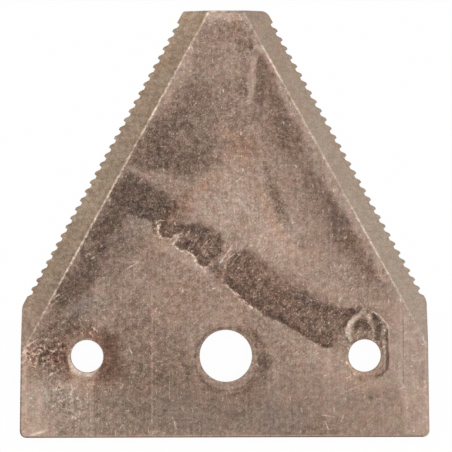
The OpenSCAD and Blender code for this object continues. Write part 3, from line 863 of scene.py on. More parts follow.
# %% Washes of the smear
GALL_WASHES = [
    (-1, -0.5, 0.6, [(-6, 23.2, 0.9, 0.9), (-4.4, 23.1, 0.9, 0.9), (-3.4, 22.9, 0.7, 0.7)]),
    (0, 0.5, 0.6, [(-2.3, 22, 0.8, 0.8)]),
    (-0.9, -0.1, 0.6, [(-8, 20.4, 0.6, 0.8), (-6.6, 20.4, 0.8, 0.9), (-5, 19.6, 0.7, 0.6)]),
    (-0.2, -0.2, 0.7, [(-2.4, 19.8, 1, 0.7), (-3.6, 18.8, 0.7, 0.5)]),
    (-0.6, 0.5, 0.6, [(-4.4, 17.4, 0.7, 0.6), (-3.4, 17.3, 0.6, 0.6)]),
    (0, 0.2, 0.6, [(-6.1, 18.9, 0.5, 0.6), (-4.9, 18.1, 0.5, 0.6)]),
    (0, 0.3, 0.6, [(-3.3, 18.4, 0.5, 0.6), (-2.2, 15.4, 0.5, 0.6)]),
    (0, -0.3, 0.6, [(-8.7, 20.9, 0.4, 0.7), (-7.8, 21.3, 0.4, 0.7), (-7.1, 21.8, 0.3, 0.5)]),
    (-0.9, -0.3, 0.7, [(-5.6, 22.2, 0.8, 0.6), (-4.4, 21.9, 0.8, 0.6)]),
    (0, 0.2, 0.7, [(11.4, 12.6, 0.8, 0.7)]),
    (-0.35, 0.6, 0.6, [(-10.4, 23.2, 1, 0.9)]),
    # Along the inside of the sharp lower edge: dark, partly dirt and partly painted shadow of the torn wall.
    (-0.7, 0.4, 0.8, [(1.5, 13.4, 0.7, 0.6), (4.5, 10.6, 0.8, 0.7), (8.5, 7.7, 0.8, 0.8),
        (13, 4.9, 0.8, 0.8), (17.5, 2.6, 0.9, 0.9)]),
    (-0.42, 0.85, 0.9, [(3.6, 15.4, 1.9, 0.8), (9, 12, 2, 0.75), (14, 7.4, 1.6, 0.6)]),
    (-0.65, -0.6, 0.8, [(13.8, 11, 1.2, 0.8), (15.6, 9.7, 1, 0.7)]),
    (0, -0.5, 0.7, [(17.2, 10.2, 0.7, 0.8)]),
    (-0.65, -0.1, 0.6, [(19.5, 8.2, 0.7, 0.8), (24, 8, 0.5, 0.8)]),
    (-0.75, 0.3, 0.7, [(6, 13, 0.8, 0.8)]),
    (0, 0, 0.7, [(19.2, 6.4, 0.9, 0.7), (20.6, 4.8, 1, 0.8)]),
    # These two, inside the sharp lower edge, are partly painted shadow of the torn wall.
    (-0.75, 0.3, 0.7, [(8.6, 8.3, 0.7, 0.8)]),
    (-1, 0.2, 0.6, [(8.4, 8, 0.45, 0.8), (11.5, 6.2, 0.45, 0.7)]),
    (-0.75, 0.3, 0.7, [(1.2, 16.6, 0.8, 0.6)]),
    (-0.2, 0.35, 0.8, [(11.4, 8.2, 0.9, 0.5), (13.1, 7.2, 1.2, 0.6), (16.3, 5, 1.2, 0.7),
        (19, 3.2, 1.2, 0.8)]),
    (0.1, 0.3, 0.8, [(7.4, 15, 0.7, 0.5), (9.9, 13.4, 0.7, 0.6), (12.2, 11.9, 0.6, 0.5)]),
    (-0.75, 0.3, 0.8, [(4.6, 13.6, 0.8, 0.6), (7.6, 11.7, 0.8, 0.6)]),
    (-0.15, 0.5, 0.7, [(4.9, 15.4, 0.7, 0.5), (6, 14.4, 0.7, 0.6)]),
]
CURLED_MARKS = [
    [(-9.3, 20.4, 0.4, 0.35), (-8, 21.2, 0.4, 0.4), (-7.1, 22.2, 0.3, 0.4), (-6.5, 22.9, 0.2, 0.4)],
    [(-0.6, 17.4, 0.3, 0.3), (0.9, 19.4, 0.25, 0.4)],
]
print(len(GALL_WASHES), "washes of the smear,", len(CURLED_MARKS), "curls of burr")

# %% [markdown]
# ## Lively, pitted and calm places
# How much a place is speckled is another thing that wear decides. Rust has pitted the corner on the left,
# while the base and the strips of grease are calm. Each mark is a stroke, as in the washes.

# %% Marks of roughness
LIVELY_MARKS = [
    [(1, 30, 4.5, 0.25), (6, 23, 4.5, 0.25)],
    [(-5, 62.2, 1.2, 0.5), (4, 62.2, 1.2, 0.5)],
]
PITTED_MARKS = [
    [(-35.6, 0.5, 1.8, 0.9), (-32.3, 0.8, 3, 1)],
    [(-27.5, -9.8, 2.2, 0.4), (-31, -5.8, 1.4, 0.4)],
    [(-30.5, -8, 2.4, 0.45), (-28, -9.5, 2, 0.5)],
    [(-31, -3.5, 1.6, 0.6)],
]
CALM_MARKS = [
    [(-16, -9, 5.5, 0.25), (-2, -10, 6, 0.5), (8, -9.5, 6, 0.5), (26, -9.5, 6, 0.45)],
    [(10, 42, 4, 0.2), (21, 22, 5, 0.3)],
    [(34, 8, 5, 0.5), (34, -12, 5, 0.5)],
    [(-18, 30, 3, 0.2), (-29, 11, 3, 0.25)],
    [(7, 54.5, 1.6, 0.35), (7.4, 47, 2, 0.35)],
    [(-21.2, 2.2, 2, 0.55), (-20.6, -2.6, 2.3, 0.55)],
]
print(len(LIVELY_MARKS), "lively,", len(PITTED_MARKS), "pitted and", len(CALM_MARKS), "calm marks")

# %% [markdown]
# ## Smooth noise
# Nothing that wear draws has a clean edge. Noise is a random number that changes smoothly from place to
# place, and it spoils clean edges well. Blender has noise for scripts too, but for one point at a time, so
# a small table with smooth steps between its entries serves all points at once. Each layer has a fixed
# seed, so every run wears the plate alike.

# %% Smooth noise
NOISE_TABLE = 97


def lattice_noise(points, size, seed):
    """Smooth noise from -1 to 1 whose bumps are about size millimetres across."""
    table = np.random.default_rng(seed).uniform(-1, 1, (NOISE_TABLE, NOISE_TABLE))
    cell = np.floor(points / size).astype(int)
    t = points / size - cell
    t = t * t * (3 - 2 * t)
    i, j = (cell % NOISE_TABLE).T
    i2, j2 = (i + 1) % NOISE_TABLE, (j + 1) % NOISE_TABLE
    near = table[i, j] * (1 - t[:, 0]) + table[i2, j] * t[:, 0]
    far = table[i, j2] * (1 - t[:, 0]) + table[i2, j2] * t[:, 0]
    return near * (1 - t[:, 1]) + far * t[:, 1]


def layered(*layers):
    """Sum of layers of noise on the skin. A layer is its strength, its size in millimetres and its seed."""
    return sum(strength * lattice_noise(skin_points, size, seed) for strength, size, seed in layers)


def wandered(points, reach, size, seed):
    """Points pushed about by noise, so that a mark drawn on them gets an uneven edge."""
    push = np.column_stack([lattice_noise(points, size, seed), lattice_noise(points, size, seed + 1)])
    return points + reach * push


stain_points = wandered(skin_points, reach=0.4, size=3.4, seed=41)
stain_points = wandered(stain_points, reach=0.3, size=1.0, seed=43)
fine_points = wandered(skin_points, reach=0.12, size=0.5, seed=45)
uneven = 1 + layered((0.35, 1.9, 47), (0.3, 0.9, 48))
moved = np.linalg.norm(stain_points - skin_points, axis=1)
print("points wander up to", round(moved.max(), 2), "mm; washes vary from", round(uneven.min(), 2), "to",
      round(uneven.max(), 2))

# %% [markdown]
# ## Soft strokes
# A stroke is what a thick felt pen would leave: full in the middle, fading at its edge, and free to change
# its width and strength along the way. It is worked out from the distance to its path.

# %% Soft strokes


def smooth_step(start, end, value):
    """0 before start, 1 after end, and a smooth rise between them."""
    t = np.clip((value - start) / (end - start), 0, 1)
    return t * t * (3 - 2 * t)


def strokes(points, marks, edge=0.6):
    """Strongest of many soft strokes. A mark is a list of (x, y, half width, strength) along its path."""
    total = np.zeros(len(points))
    for mark in marks:
        mark = np.array(mark if len(mark) > 1 else [mark[0], mark[0]], float)
        away, i, share = path_distance(points, mark[:, :2], closed=False)
        half = mark[i, 2] * (1 - share) + mark[i + 1, 2] * share
        strength = mark[i, 3] * (1 - share) + mark[i + 1, 3] * share
        total = np.maximum(total, strength * smooth_step(1 + edge, 1 - edge, away / half))
    return total


pitted = strokes(stain_points, PITTED_MARKS)
calm = strokes(skin_points, CALM_MARKS, edge=0.9)
lively = strokes(skin_points, LIVELY_MARKS, edge=0.9)
print("share of the skin that is pitted:", round((pitted > 0.5).mean(), 3))

# %% [markdown]
# ## Laying the washes
# A wash moves the tone and the warmth towards its own, as far as its mask says. So a later wash covers an
# earlier one, as paint does. Broad washes go on the points that wander most, which gives every stain an
# uneven edge.

# %% Lay the washes
BASE_TONE = 0.1
tone_here = np.full(len(skin_points), BASE_TONE)
warm_here = np.zeros(len(skin_points))


def lay(mask, tone_aim, warm_aim):
    """Lays one wash: moves the tone and the warmth towards the wash's own, as far as the mask says."""
    tone_here[:] += (tone_aim - tone_here) * mask
    warm_here[:] += (warm_aim - warm_here) * mask


for tone_aim, warm_aim, edge, stroke in BROAD_WASHES:
    lay(np.clip(strokes(stain_points, [stroke], edge) * uneven, 0, 1), tone_aim, warm_aim)
for x0, y0, x1, y1, border, tone_aim, warm_aim, strength in BOXES:
    x, y = fine_points.T
    reach = np.minimum.reduce([x - x0, x1 - x, y - y0, y1 - y])
    lay(np.clip(smooth_step(-border, border, reach) * strength * uneven, 0, 1), tone_aim, warm_aim)
for warm_aim, stroke in RUSTY_WASHES:
    lay(np.clip(strokes(stain_points, [stroke], RUST_EDGE) * uneven, 0, 1), tone_here, warm_aim)
for tone_aim, warm_aim, edge, stroke in POCKET_WASHES:
    lay(strokes(fine_points, [stroke], edge), tone_aim, warm_aim)
print("tones from", round(tone_here.min(), 2), "to", round(tone_here.max(), 2))

# %% [markdown]
# ## The worn pocket
# The pocket has a round upper end on a straight-sided lower part. A distance to its wall is all that its
# floor, its wall and its roughness need.

# %% Distance to the pocket's wall
POCKET_MIDDLE = (25.8, 4.55)
POCKET_RADIUS = 3.85


def pocket_distance(points):
    """Distance to the wall of the worn pocket, negative inside."""
    dx = points[:, 0] - POCKET_MIDDLE[0]
    dy = points[:, 1] - POCKET_MIDDLE[1]
    return np.where(dy > 0, np.hypot(dx, dy), np.abs(dx)) - POCKET_RADIUS


pocket = pocket_distance(skin_points)
print("pocket is", 2 * POCKET_RADIUS, "mm wide and ends at y =", POCKET_MIDDLE[1] + POCKET_RADIUS, "mm")

# %% [markdown]
# ## Roughness of the skin
# Thick oxide is rough and speckled, and rubbed metal is smooth. So how rough a place is follows from its
# tone, and the marks above then make it livelier or calmer. One value serves the speckle, the gloss and the
# share of metal, so they agree everywhere. The upper part of the pocket is rough whatever its tone.

# %% Roughness, and the last variation of tone
LEAST_ROUGH = 0.25
TAN_SPECKLE, TONE_SPECKLE, PIT_SPECKLE = 0.5, -0.7, 0.5
POCKET_ROUGH = 0.95
POCKET_BORDER = 0.2
POCKET_ROUGH_FROM, POCKET_ROUGH_TO = -1.0, 2.5

speckled = np.clip(TAN_SPECKLE + TONE_SPECKLE * tone_here + PIT_SPECKLE * pitted + lively - calm, 0, 1)
rough_here = LEAST_ROUGH + (1 - LEAST_ROUGH) * speckled
in_pocket = in_box(skin_points, POCKET_BOX) * smooth_step(POCKET_BORDER, -POCKET_BORDER, pocket)
in_pocket = in_pocket * smooth_step(POCKET_ROUGH_FROM, POCKET_ROUGH_TO, skin_points[:, 1])
rough_here += (POCKET_ROUGH - rough_here) * in_pocket
tone_here += layered((0.06, 5.0, 61), (0.05, 2.4, 62))
warm_here += layered((0.18, 4.0, 63), (0.18, 1.7, 64))
print("mean roughness of the skin:", round(rough_here.mean(), 2))

# %% [markdown]
# ## Strength of the bold scratches
# A scratch is a thin stroke that noise breaks up along its way. Its strength is kept apart from the tone,
# because it is used twice: as the depth of a groove and as paint.

# %% Strength of the scratches
SCRATCH_CORE = 0.65
SCRATCH_EDGE = 0.54


def scratch_depth(marks):
    """Strongest of the scratches at each point of the skin, from 0 to 1."""
    lines = []
    for x1, y1, x2, y2, width, strength in marks:
        half = SCRATCH_CORE * width
        lines.append([(x1, y1, half, strength), (x2, y2, half, strength)])
    return strokes(skin_points, lines, SCRATCH_EDGE)


broken = np.clip(0.8 + layered((0.5, 0.45, 51)), 0.2, 1.0)
scratched = scratch_depth(BRIGHT_SCRATCHES) * broken
scored = scratch_depth(DARK_SCRATCHES) * broken
print("points on scratches:", int((scratched > 0.1).sum()), "bright and", int((scored > 0.1).sum()), "dark")

# %% [markdown]
# ## Height of the face, the bevels and the arrises
# Wear starts with height. Each point takes the lower of the face and the two ground planes, and a smooth
# minimum rounds the edge between them. Its radius is the wear of the arris, which noise makes uneven. A
# bevel modifier would round the edge evenly, as no worn edge is.

# %% Height of the worn arrises
ARRIS_WEAR = (0.13, 0.09)
ARRIS_UNEVEN = 0.6
ARRIS_NOISE_SIZE = 3.0
ARRIS_SEED = 11


def smooth_min(a, b, radius):
    """Lower of two heights, rounded where they meet."""
    h = np.clip(0.5 + 0.5 * (b - a) / radius, 0, 1)
    return b * (1 - h) + a * h - radius * h * (1 - h)


height = np.full(len(skin_points), top_z)
for side, (n, d) in enumerate(bevels):
    ground = (d - skin_points @ n[:2]) / n[2]
    wear = ARRIS_WEAR[side] * (1 + layered((ARRIS_UNEVEN, ARRIS_NOISE_SIZE, ARRIS_SEED + side)))
    height = smooth_min(height, ground, wear)
arris = np.maximum(arris_distance(skin_points, 0), arris_distance(skin_points, 1))
print("height from", round(height.min(), 3), "to", round(height.max(), 3), "mm")

# %% [markdown]
# ## Flares of the holes
# The mouth of each hole is flared, and the rivets have worn each flare wider on one side. An even chamfer
# would miss that, so the width of a flare changes with the angle round its hole. Its paint is kept for
# later, because the smear is laid first.

# %% Flare the holes
# A flare has the angle of its widest side, its greatest and least width, how fast it narrows, its tone and
# warmth, and how dark the ring round it is.
FLARES = {
    "left_rivet_hole": (-120, 1.1, 0.04, 4.0, 1.1, -0.1, 0.0),
    "centre_hole": (-72, 1.45, 0.32, 1.0, 0.1, -0.1, 0.6),
    "right_rivet_hole": (-100, 0.8, 0.12, 1.5, 0.4, 0.6, 0.2),
}
FLARE_CURVE = 1.6
FLARE_COVER = 0.85
RING_GAP, RING_WIDTH = 0.1, 0.2
RING_TONE, RING_WARMTH = -0.7, 0.2
RING_UNEVEN = (0.2, 1.2)
FLARE_PAINT_OUTER, FLARE_PAINT_INNER = 1.25, 0.5

flare = np.zeros(len(skin_points))
flare_paint = []
for name, (x, y, r) in holes.items():
    angle, widest, least, focus, tone_aim, warm_aim, darkness = FLARES[name]
    dx, dy = skin_points[:, 0] - x, skin_points[:, 1] - y
    lean = (0.5 + 0.5 * np.cos(np.arctan2(dy, dx) - math.radians(angle))) ** focus
    width = least + (widest - least) * lean
    beyond = np.hypot(dx, dy) - r
    flare = np.maximum(flare, np.clip(1 - beyond / width, 0, 1))
    ring = darkness * np.exp(-((beyond - width - RING_GAP) / RING_WIDTH) ** 2)
    ring = ring * np.clip(uneven, *RING_UNEVEN)
    flare_paint.append((np.clip(ring, 0, 1), RING_TONE, RING_WARMTH))
    cover = FLARE_COVER * smooth_step(FLARE_PAINT_OUTER, FLARE_PAINT_INNER, beyond / width)
    flare_paint.append((cover, tone_aim, warm_aim))
height -= flare_depth * flare ** FLARE_CURVE
print("points on flares:", int((flare > 0).sum()))

# %% [markdown]
# ## Floor of the pocket
# The pocket is deepest at its upper end and runs out below the hole, so its depth fades along its length.
# Its wall is a short slope and not a step, because the skin can only be stretched, not cut.

# %% Press the pocket
POCKET_DEPTH = 0.25
POCKET_FADE = 13.0
WALL_TOP, WALL_FOOT = 0.12, -0.25

below_top = POCKET_MIDDLE[1] + POCKET_RADIUS - skin_points[:, 1]
pressed = smooth_step(WALL_TOP, WALL_FOOT, pocket) * np.clip(1 - below_top / POCKET_FADE, 0, 1)
height -= POCKET_DEPTH * pressed * (1 - flare)
print("pocket is pressed up to", round(POCKET_DEPTH * pressed.max(), 3), "mm deep")

# %% [markdown]
# ## Groove of the smear
# The smear is a shallow, torn groove. Its outline gets ragged by noise, its depth varies over short
# distances, and its paint goes on with the same mask, so that colour and shape stay together.

# %% Tear the groove of the smear
GALL_DEPTH = 0.08
GALL_TONE, GALL_WARMTH = -0.5, 0.3
CRISP_REACH = 0.1
SOFT_REACH_OUT, SOFT_REACH_IN = 0.9, 1.2
PAINT_OVERLAP = 0.6


def patches(size, seed):
    """Noise on the skin from 0 to 1."""
    return 0.5 + layered((0.5, size, seed))


gall_distance, gall_soft = gall_edge(skin_points)
ragged = gall_distance + layered((0.3, 0.9, 21), (0.2, 0.45, 22))
reach_out = CRISP_REACH + SOFT_REACH_OUT * gall_soft
reach_in = CRISP_REACH + SOFT_REACH_IN * gall_soft
gall = smooth_step(reach_out, -reach_in, ragged)
torn = patches(0.55, seed=23)
height -= GALL_DEPTH * gall * (0.5 + torn) * (1 - flare) * (1 - pressed)
lay(gall, GALL_TONE, GALL_WARMTH)
paint_reach = np.maximum(gall, PAINT_OVERLAP * smooth_step(1.0, 0.0, gall_distance))
for tone_aim, warm_aim, edge, stroke in GALL_WASHES:
    lay(np.clip(strokes(fine_points, [stroke], edge) * uneven, 0, 1) * paint_reach, tone_aim, warm_aim)
print("share of the skin under the smear:", round((gall > 0.5).mean(), 3))

# %% [markdown]
# ## Burr, pits and scratches
# Metal that was torn out of the groove stands up as a burr along its sharp edge: strong on the left, weaker
# to the right, and nearly none at the neck between lobe and body. Rust has eaten pits, and the bold
# scratches cut grooves. The plate is also not quite flat. All are a few hundredths of a millimetre, and a
# cap keeps the burr low.

# %% Raise the burr and cut pits and scratches
BURR_ALONG_X = ((-12.5, -2.0, 6.0, 14.0, 19.0), (1.0, 0.9, 0.6, 0.25, 0.1))
BURR_OFFSET, BURR_WIDTH = 0.22, 0.24
NECK_MIDDLE = (-0.3, 15.6)
NECK_REACH, NECK_LOSS = 1.8, 0.8
SOFT_LOSS = 3
CURL_EDGE = 0.7
BURR_HEIGHT = 0.05
PIT_DEPTH = 0.05
SCRATCH_DEPTH = 0.03
HIGHEST_BURR = 0.06

from_neck = np.hypot(skin_points[:, 0] - NECK_MIDDLE[0], skin_points[:, 1] - NECK_MIDDLE[1])
in_neck = np.exp(-(from_neck / NECK_REACH) ** 2)
burr = np.exp(-((ragged - BURR_OFFSET) / BURR_WIDTH) ** 2) * np.clip(1 - SOFT_LOSS * gall_soft, 0, 1)
burr = burr * np.interp(skin_points[:, 0], *BURR_ALONG_X) * (1 - NECK_LOSS * in_neck)
burr = np.maximum(burr, strokes(fine_points, CURLED_MARKS, CURL_EDGE))
height += BURR_HEIGHT * burr * patches(0.7, seed=24)
height -= PIT_DEPTH * pitted * patches(0.5, seed=25)
height -= SCRATCH_DEPTH * np.maximum(scratched, scored)
height += layered((0.01, 6.0, 31), (0.006, 1.2, 32))
height = np.minimum(height, top_z + HIGHEST_BURR)
print("height from", round(height.min(), 3), "to", round(height.max(), 3), "mm")

# %% [markdown]
# ## Paint of the flares, the scratches and the bevels
# The flares are painted over the smear, and scratches over both. The bevels come last, because grinding cut
# through every stain: the left one is tan and mottled, the right one greyer and more even. Their tone and
# warmth are given at a few heights along the edge, and interpolated between them.

# %% Paint the flares, the scratches and the bevels
SCRATCH_TONE, SCORE_TONE = 1.3, -0.8
# The right bevel is painted lighter than the left: partly its own finish, partly painted light from the
# right.
LEFT_BEVEL_TONE = ((2, 8, 12, 20, 55, 62), (0.02, -0.1, -0.22, -0.12, -0.12, 0.0))
RIGHT_BEVEL_TONE = ((2, 20, 50, 62), (0.06, 0.03, 0.0, -0.08))
LEFT_BEVEL_WARMTH = ((10, 40, 60), (0.0, -0.05, 0.2))
RIGHT_BEVEL_WARMTH = ((5, 25, 60), (-0.75, -0.6, -0.4))
LEFT_BEVEL_ACROSS = ((0.5, 4.0), (-0.05, 0.1))
LEFT_MOTTLE, RIGHT_MOTTLE = 1.2, 0.4
BEVEL_BLUR = 0.1
left_side = skin_points[:, 0] < 0


def along_y(steps):
    """Values interpolated along the plate, from heights y and the values there."""
    return np.interp(skin_points[:, 1], *steps)


for mask, tone_aim, warm_aim in flare_paint:
    lay(mask, tone_aim, warm_aim)
tone_here += scratched * (SCRATCH_TONE - tone_here) + scored * (SCORE_TONE - tone_here)
on_bevel = smooth_step(-BEVEL_BLUR, BEVEL_BLUR, arris)
bevel_tone = np.where(left_side, along_y(LEFT_BEVEL_TONE), along_y(RIGHT_BEVEL_TONE))
bevel_tone += layered((0.07, 2.0, 65), (0.05, 0.8, 66)) * np.where(left_side, LEFT_MOTTLE, RIGHT_MOTTLE)
bevel_tone += np.where(left_side, np.interp(arris, *LEFT_BEVEL_ACROSS), 0)
bevel_warm = np.where(left_side, along_y(LEFT_BEVEL_WARMTH), along_y(RIGHT_BEVEL_WARMTH))
lay(on_bevel, bevel_tone, bevel_warm + layered((0.25, 1.4, 67)))
print("mean tone of the bevels:", round(tone_here[on_bevel > 0.5].mean(), 2))

# %% [markdown]
# ## Olive lean and bright arrises
# Warmth moves a colour between blue and orange. Oxide also leans to green where it is rough and to pink
# where it was rubbed, which needs a second lean, called olive here. The bevels are the most olive. The
# arrises are bright where hay and guards rubbed them and where their worn edge catches the light, which is a
# painted highlight. They are brighter on the left, and their brightness is again given along y.

# %% Olive lean and brightness of the arrises
ROUGH_OLIVE, PITTED_OLIVE, OLIVE_START = 0.4, -0.25, -0.05
OLIVE_ALONG_Y = ((-15, -5, 6, 50, 60), (0.08, 0.03, -0.1, -0.14, -0.22))
RUST_FROM, RUST_SPAN, RUST_OLIVE = 0.6, 0.6, 0.6
BEVEL_OLIVE_ALONG_Y = ((0, 14), (0.1, 1.0))
LEFT_OLIVE, RIGHT_OLIVE = 0.62, 0.36
LEFT_BEVEL_ROUGH, RIGHT_BEVEL_ROUGH = 0.35, 0.02
LEFT_ARRIS = ((4, 12, 15, 19, 24, 28, 31, 39, 43, 48, 52, 58, 63),
              (0.35, 0.75, 1.0, 1.05, 0.8, 1.1, 1.1, 0.7, 1.0, 0.95, 0.55, 0.7, 0.9))
RIGHT_ARRIS = ((8, 12, 18, 25, 28, 34, 36, 38, 45, 49, 52, 55, 57, 63),
               (0.1, 0.32, 0.56, 0.52, 0.32, 0.28, 0.55, 0.28, 0.55, 0.36, 0.75, 0.85, 0.3, 0.2))

olive_here = OLIVE_START + ROUGH_OLIVE * (rough_here - LEAST_ROUGH) + PITTED_OLIVE * pitted
olive_here += along_y(OLIVE_ALONG_Y) - RUST_OLIVE * np.clip(warm_here - RUST_FROM, 0, RUST_SPAN)
bevel_olive = along_y(BEVEL_OLIVE_ALONG_Y) * np.where(left_side, LEFT_OLIVE, RIGHT_OLIVE)
olive_here += on_bevel * (bevel_olive - olive_here)
rough_here += on_bevel * (np.where(left_side, LEFT_BEVEL_ROUGH, RIGHT_BEVEL_ROUGH) - rough_here)
arris_bright = np.where(left_side, along_y(LEFT_ARRIS), along_y(RIGHT_ARRIS))
print("olive lean from", round(olive_here.min(), 2), "to", round(olive_here.max(), 2))

# %% [markdown]
# ## One mesh again
# The kept faces and the woven skin share the points of the loops, so one list of points for both closes the
# plate. Joining two objects and merging by distance would also do it, but it could merge points that only
# lie close.

# %% Join skin and shell into the dressed blade
loop_vertices = [v for loop in loops for v in loop]
kept_points = np.array([v.co for v in shell.verts])
kept_faces = [[v.index for v in f.verts] for f in shell.faces]
kept_normals = np.array([f.normal for f in shell.faces])
index_of = np.full(len(skin_points), -1)
fresh = []
for i, source in enumerate(came_from):
    if 0 <= source < len(loop_vertices):
        index_of[i] = loop_vertices[source].index
    else:
        index_of[i] = len(kept_points) + len(fresh)
        fresh.append(i)
points = np.vstack([kept_points, np.column_stack([skin_points[fresh], height[fresh]])])
faces = kept_faces + index_of[triangles].tolist()
shell.free()

blade_mesh = bpy.data.meshes.new("sickle_blade")
blade_mesh.from_pydata((points * MM).tolist(), [], faces)
blade_mesh.validate()
blade = bpy.data.objects.new("sickle_blade", blade_mesh)
bpy.context.scene.collection.objects.link(blade)
print("blade has", len(blade_mesh.vertices), "points and", len(blade_mesh.polygons), "faces")

# %% [markdown]
# ## Values that ride along
# The materials need the tone, the distance from the arris and the other values worked out above. They ride
# on the mesh as point attributes. A shader can add its own fine noise to a distance, so an edge stays crisp
# even though the mesh is coarser than the picture. The kept edges get plain tones of their own, which are
# painted shade on their rolled top: dark along the base and the other edges, lighter on the right.

# %% Carry the values on the mesh
FAR_FROM_ARRIS = -9.0
FAR_FROM_SMEAR = 9.0
SCRATCH_LIFT = 6.0
# The rolled edges get painted shade: dark at the base and the other edges, lighter on the right.
RIGHT_EDGE_FROM, RIGHT_EDGE_PAINTED_LIGHT = 36.0, 0.5
BASE_EDGE_BELOW, BASE_EDGE_PAINTED_SHADE = -14.0, -0.85
OTHER_EDGE_PAINTED_SHADE = -0.5


def carry(name, values, elsewhere=0.0):
    """Stores one value per point: the skin's own values, and other values for the rest of the blade."""
    spread = np.zeros(len(points))
    spread[:len(kept_points)] = elsewhere
    spread[index_of] = values
    blade_mesh.attributes.new(name, "FLOAT", "POINT").data.foreach_set("value", spread.astype(np.float32))


at_edges = [kept_points[:, 0] > RIGHT_EDGE_FROM, kept_points[:, 1] < BASE_EDGE_BELOW]
carry("arris", arris, FAR_FROM_ARRIS)
carry("arris_bright", arris_bright)
carry("gall_distance", gall_distance + SCRATCH_LIFT * scratched, FAR_FROM_SMEAR)
carry("gall_soft", gall_soft)
carry("tone", tone_here, np.select(at_edges, [RIGHT_EDGE_PAINTED_LIGHT, BASE_EDGE_PAINTED_SHADE], OTHER_EDGE_PAINTED_SHADE))
carry("warmth", warm_here)
carry("roughened", rough_here)
carry("pitted", pitted)
carry("burr", burr)
carry("olive", olive_here)
print("attributes:", [a.name for a in blade_mesh.attributes if a.data_type == "FLOAT"])

# %% [markdown]
# ## Three surfaces on one body
# The blade is one piece of steel with three finishes: the worn face with its bevels, the sheared walls, and
# the underside. The skin is all worn face, and a kept face gets its material by the way it points. Smooth
# shading with sharp edges at steep angles keeps the teeth crisp. The blade then rides on the body of the
# solid and stands for its node.

# %% Sort the faces and tie the blade to the frame
TOP, WALL, UNDER = 0, 1, 2
TOP_TILT, UNDER_TILT = 0.25, -0.3
SHARP_ANGLE = math.radians(55)

tilt = kept_normals[:, 2]
kind = np.select([tilt > TOP_TILT, tilt < UNDER_TILT], [TOP, UNDER], WALL).tolist() + [TOP] * len(triangles)
blade_mesh.polygons.foreach_set("material_index", kind)
blade_mesh.polygons.foreach_set("use_smooth", [True] * len(faces))
blade_mesh.set_sharp_from_angle(angle=SHARP_ANGLE)
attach(blade, "root")
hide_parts("sickle_section")
print("faces of top, wall and underside:", [kind.count(k) for k in (TOP, WALL, UNDER)])

# %% [markdown]
# ## Small helpers for node trees
# A material is a tree of nodes. Added one by one with their links, they take many lines and are hard to
# follow, so these helpers add a node, join its inputs and hand back its output. A tree then reads like a
# sum.

# %% Node helpers for values


def place(tree, kind_name, inputs=None, **options):
    """Adds a node, sets its options, and fills each input with a value or another node's output."""
    made = tree.nodes.new(kind_name)
    for option, value in options.items():
        setattr(made, option, value)
    for key, value in (inputs or {}).items():
        if isinstance(value, bpy.types.NodeSocket):
            tree.links.new(value, made.inputs[key])
        else:
            made.inputs[key].default_value = value
    return made


def sums(tree, operation, a, b=0.0, c=0.0):
    """One arithmetic step on values."""
    return place(tree, "ShaderNodeMath", {0: a, 1: b, 2: c}, operation=operation).outputs[0]


def times(tree, *values):
    """Product of several values."""
    total = values[0]
    for value in values[1:]:
        total = sums(tree, "MULTIPLY", total, value)
    return total


def plus(tree, start, value, amount):
    """Start, and amount times value added to it."""
    return sums(tree, "MULTIPLY_ADD", value, amount, start)


def centred(tree, value):
    """A value from 0 to 1 moved to swing both ways round 0."""
    return sums(tree, "SUBTRACT", value, 0.5)


def blended(tree, share, a, b):
    """Mix of two values, which are inputs 2 and 3 of a Mix node."""
    return place(tree, "ShaderNodeMix", {0: share, 2: a, 3: b}, data_type="FLOAT").outputs[0]


print("helpers for values:", [helper.__name__ for helper in (sums, times, plus, centred, blended)])

# %% [markdown]
# ## Helpers for patterns
# Wear is drawn with a few patterns: a step that makes a mask of a value, noise, and values that ride on the
# mesh. Vectors need sums of their own, because noise is shifted or stretched by moving the place where it
# is read.

# %% Node helpers for patterns


def arrows(tree, operation, a, b=(0.0, 0.0, 0.0), output=0):
    """One arithmetic step on vectors."""
    return place(tree, "ShaderNodeVectorMath", {0: a, 1: b}, operation=operation).outputs[output]


def between(tree, value, start, end):
    """Smooth step of a value from 0 at start to 1 at end."""
    step = place(tree, "ShaderNodeMapRange", {"Value": value, "From Min": start, "From Max": end},
                 interpolation_type="SMOOTHSTEP")
    return step.outputs["Result"]


def noise(tree, vector, scale, detail=2.0, rough=0.5):
    """Value of a noise texture, from about 0 to 1."""
    inputs = {"Vector": vector, "Scale": scale, "Detail": detail, "Roughness": rough}
    return place(tree, "ShaderNodeTexNoise", inputs, noise_dimensions="3D").outputs["Fac"]


def attribute(tree, name):
    """A value that rides on the mesh."""
    return place(tree, "ShaderNodeAttribute", attribute_name=name).outputs["Fac"]


print("helpers for patterns:", [helper.__name__ for helper in (arrows, between, noise, attribute)])

# %% [markdown]
# ## Effects that several surfaces share
# The face, the walls and the underside are the same old steel, so they share their effects. Each effect is
# a node group with named sockets, built once and placed where it is needed, each time with other values.
# Copies of the nodes would drift apart with the first change. The patterns take the place on the surface in
# millimetres.

# %% Group helpers
FLOAT, VECTOR, COLOUR = "NodeSocketFloat", "NodeSocketVector", "NodeSocketColor"


def new_group(name, sockets_in, sockets_out):
    """An empty shader group. Sockets are (name, type, default) going in and (name, type) coming out."""
    group = bpy.data.node_groups.new(name, "ShaderNodeTree")
    for label, socket_type, default in sockets_in:
        socket = group.interface.new_socket(label, in_out="INPUT", socket_type=socket_type)
        if default is not None:
            socket.default_value = default
    for label, socket_type in sockets_out:
        group.interface.new_socket(label, in_out="OUTPUT", socket_type=socket_type)
    return group, group.nodes.new("NodeGroupInput").outputs, group.nodes.new("NodeGroupOutput").inputs


def use_group(tree, group, inputs):
    """Places a group and returns its outputs."""
    return place(tree, "ShaderNodeGroup", inputs, node_tree=group).outputs


print("sockets are of", FLOAT, VECTOR, COLOUR)

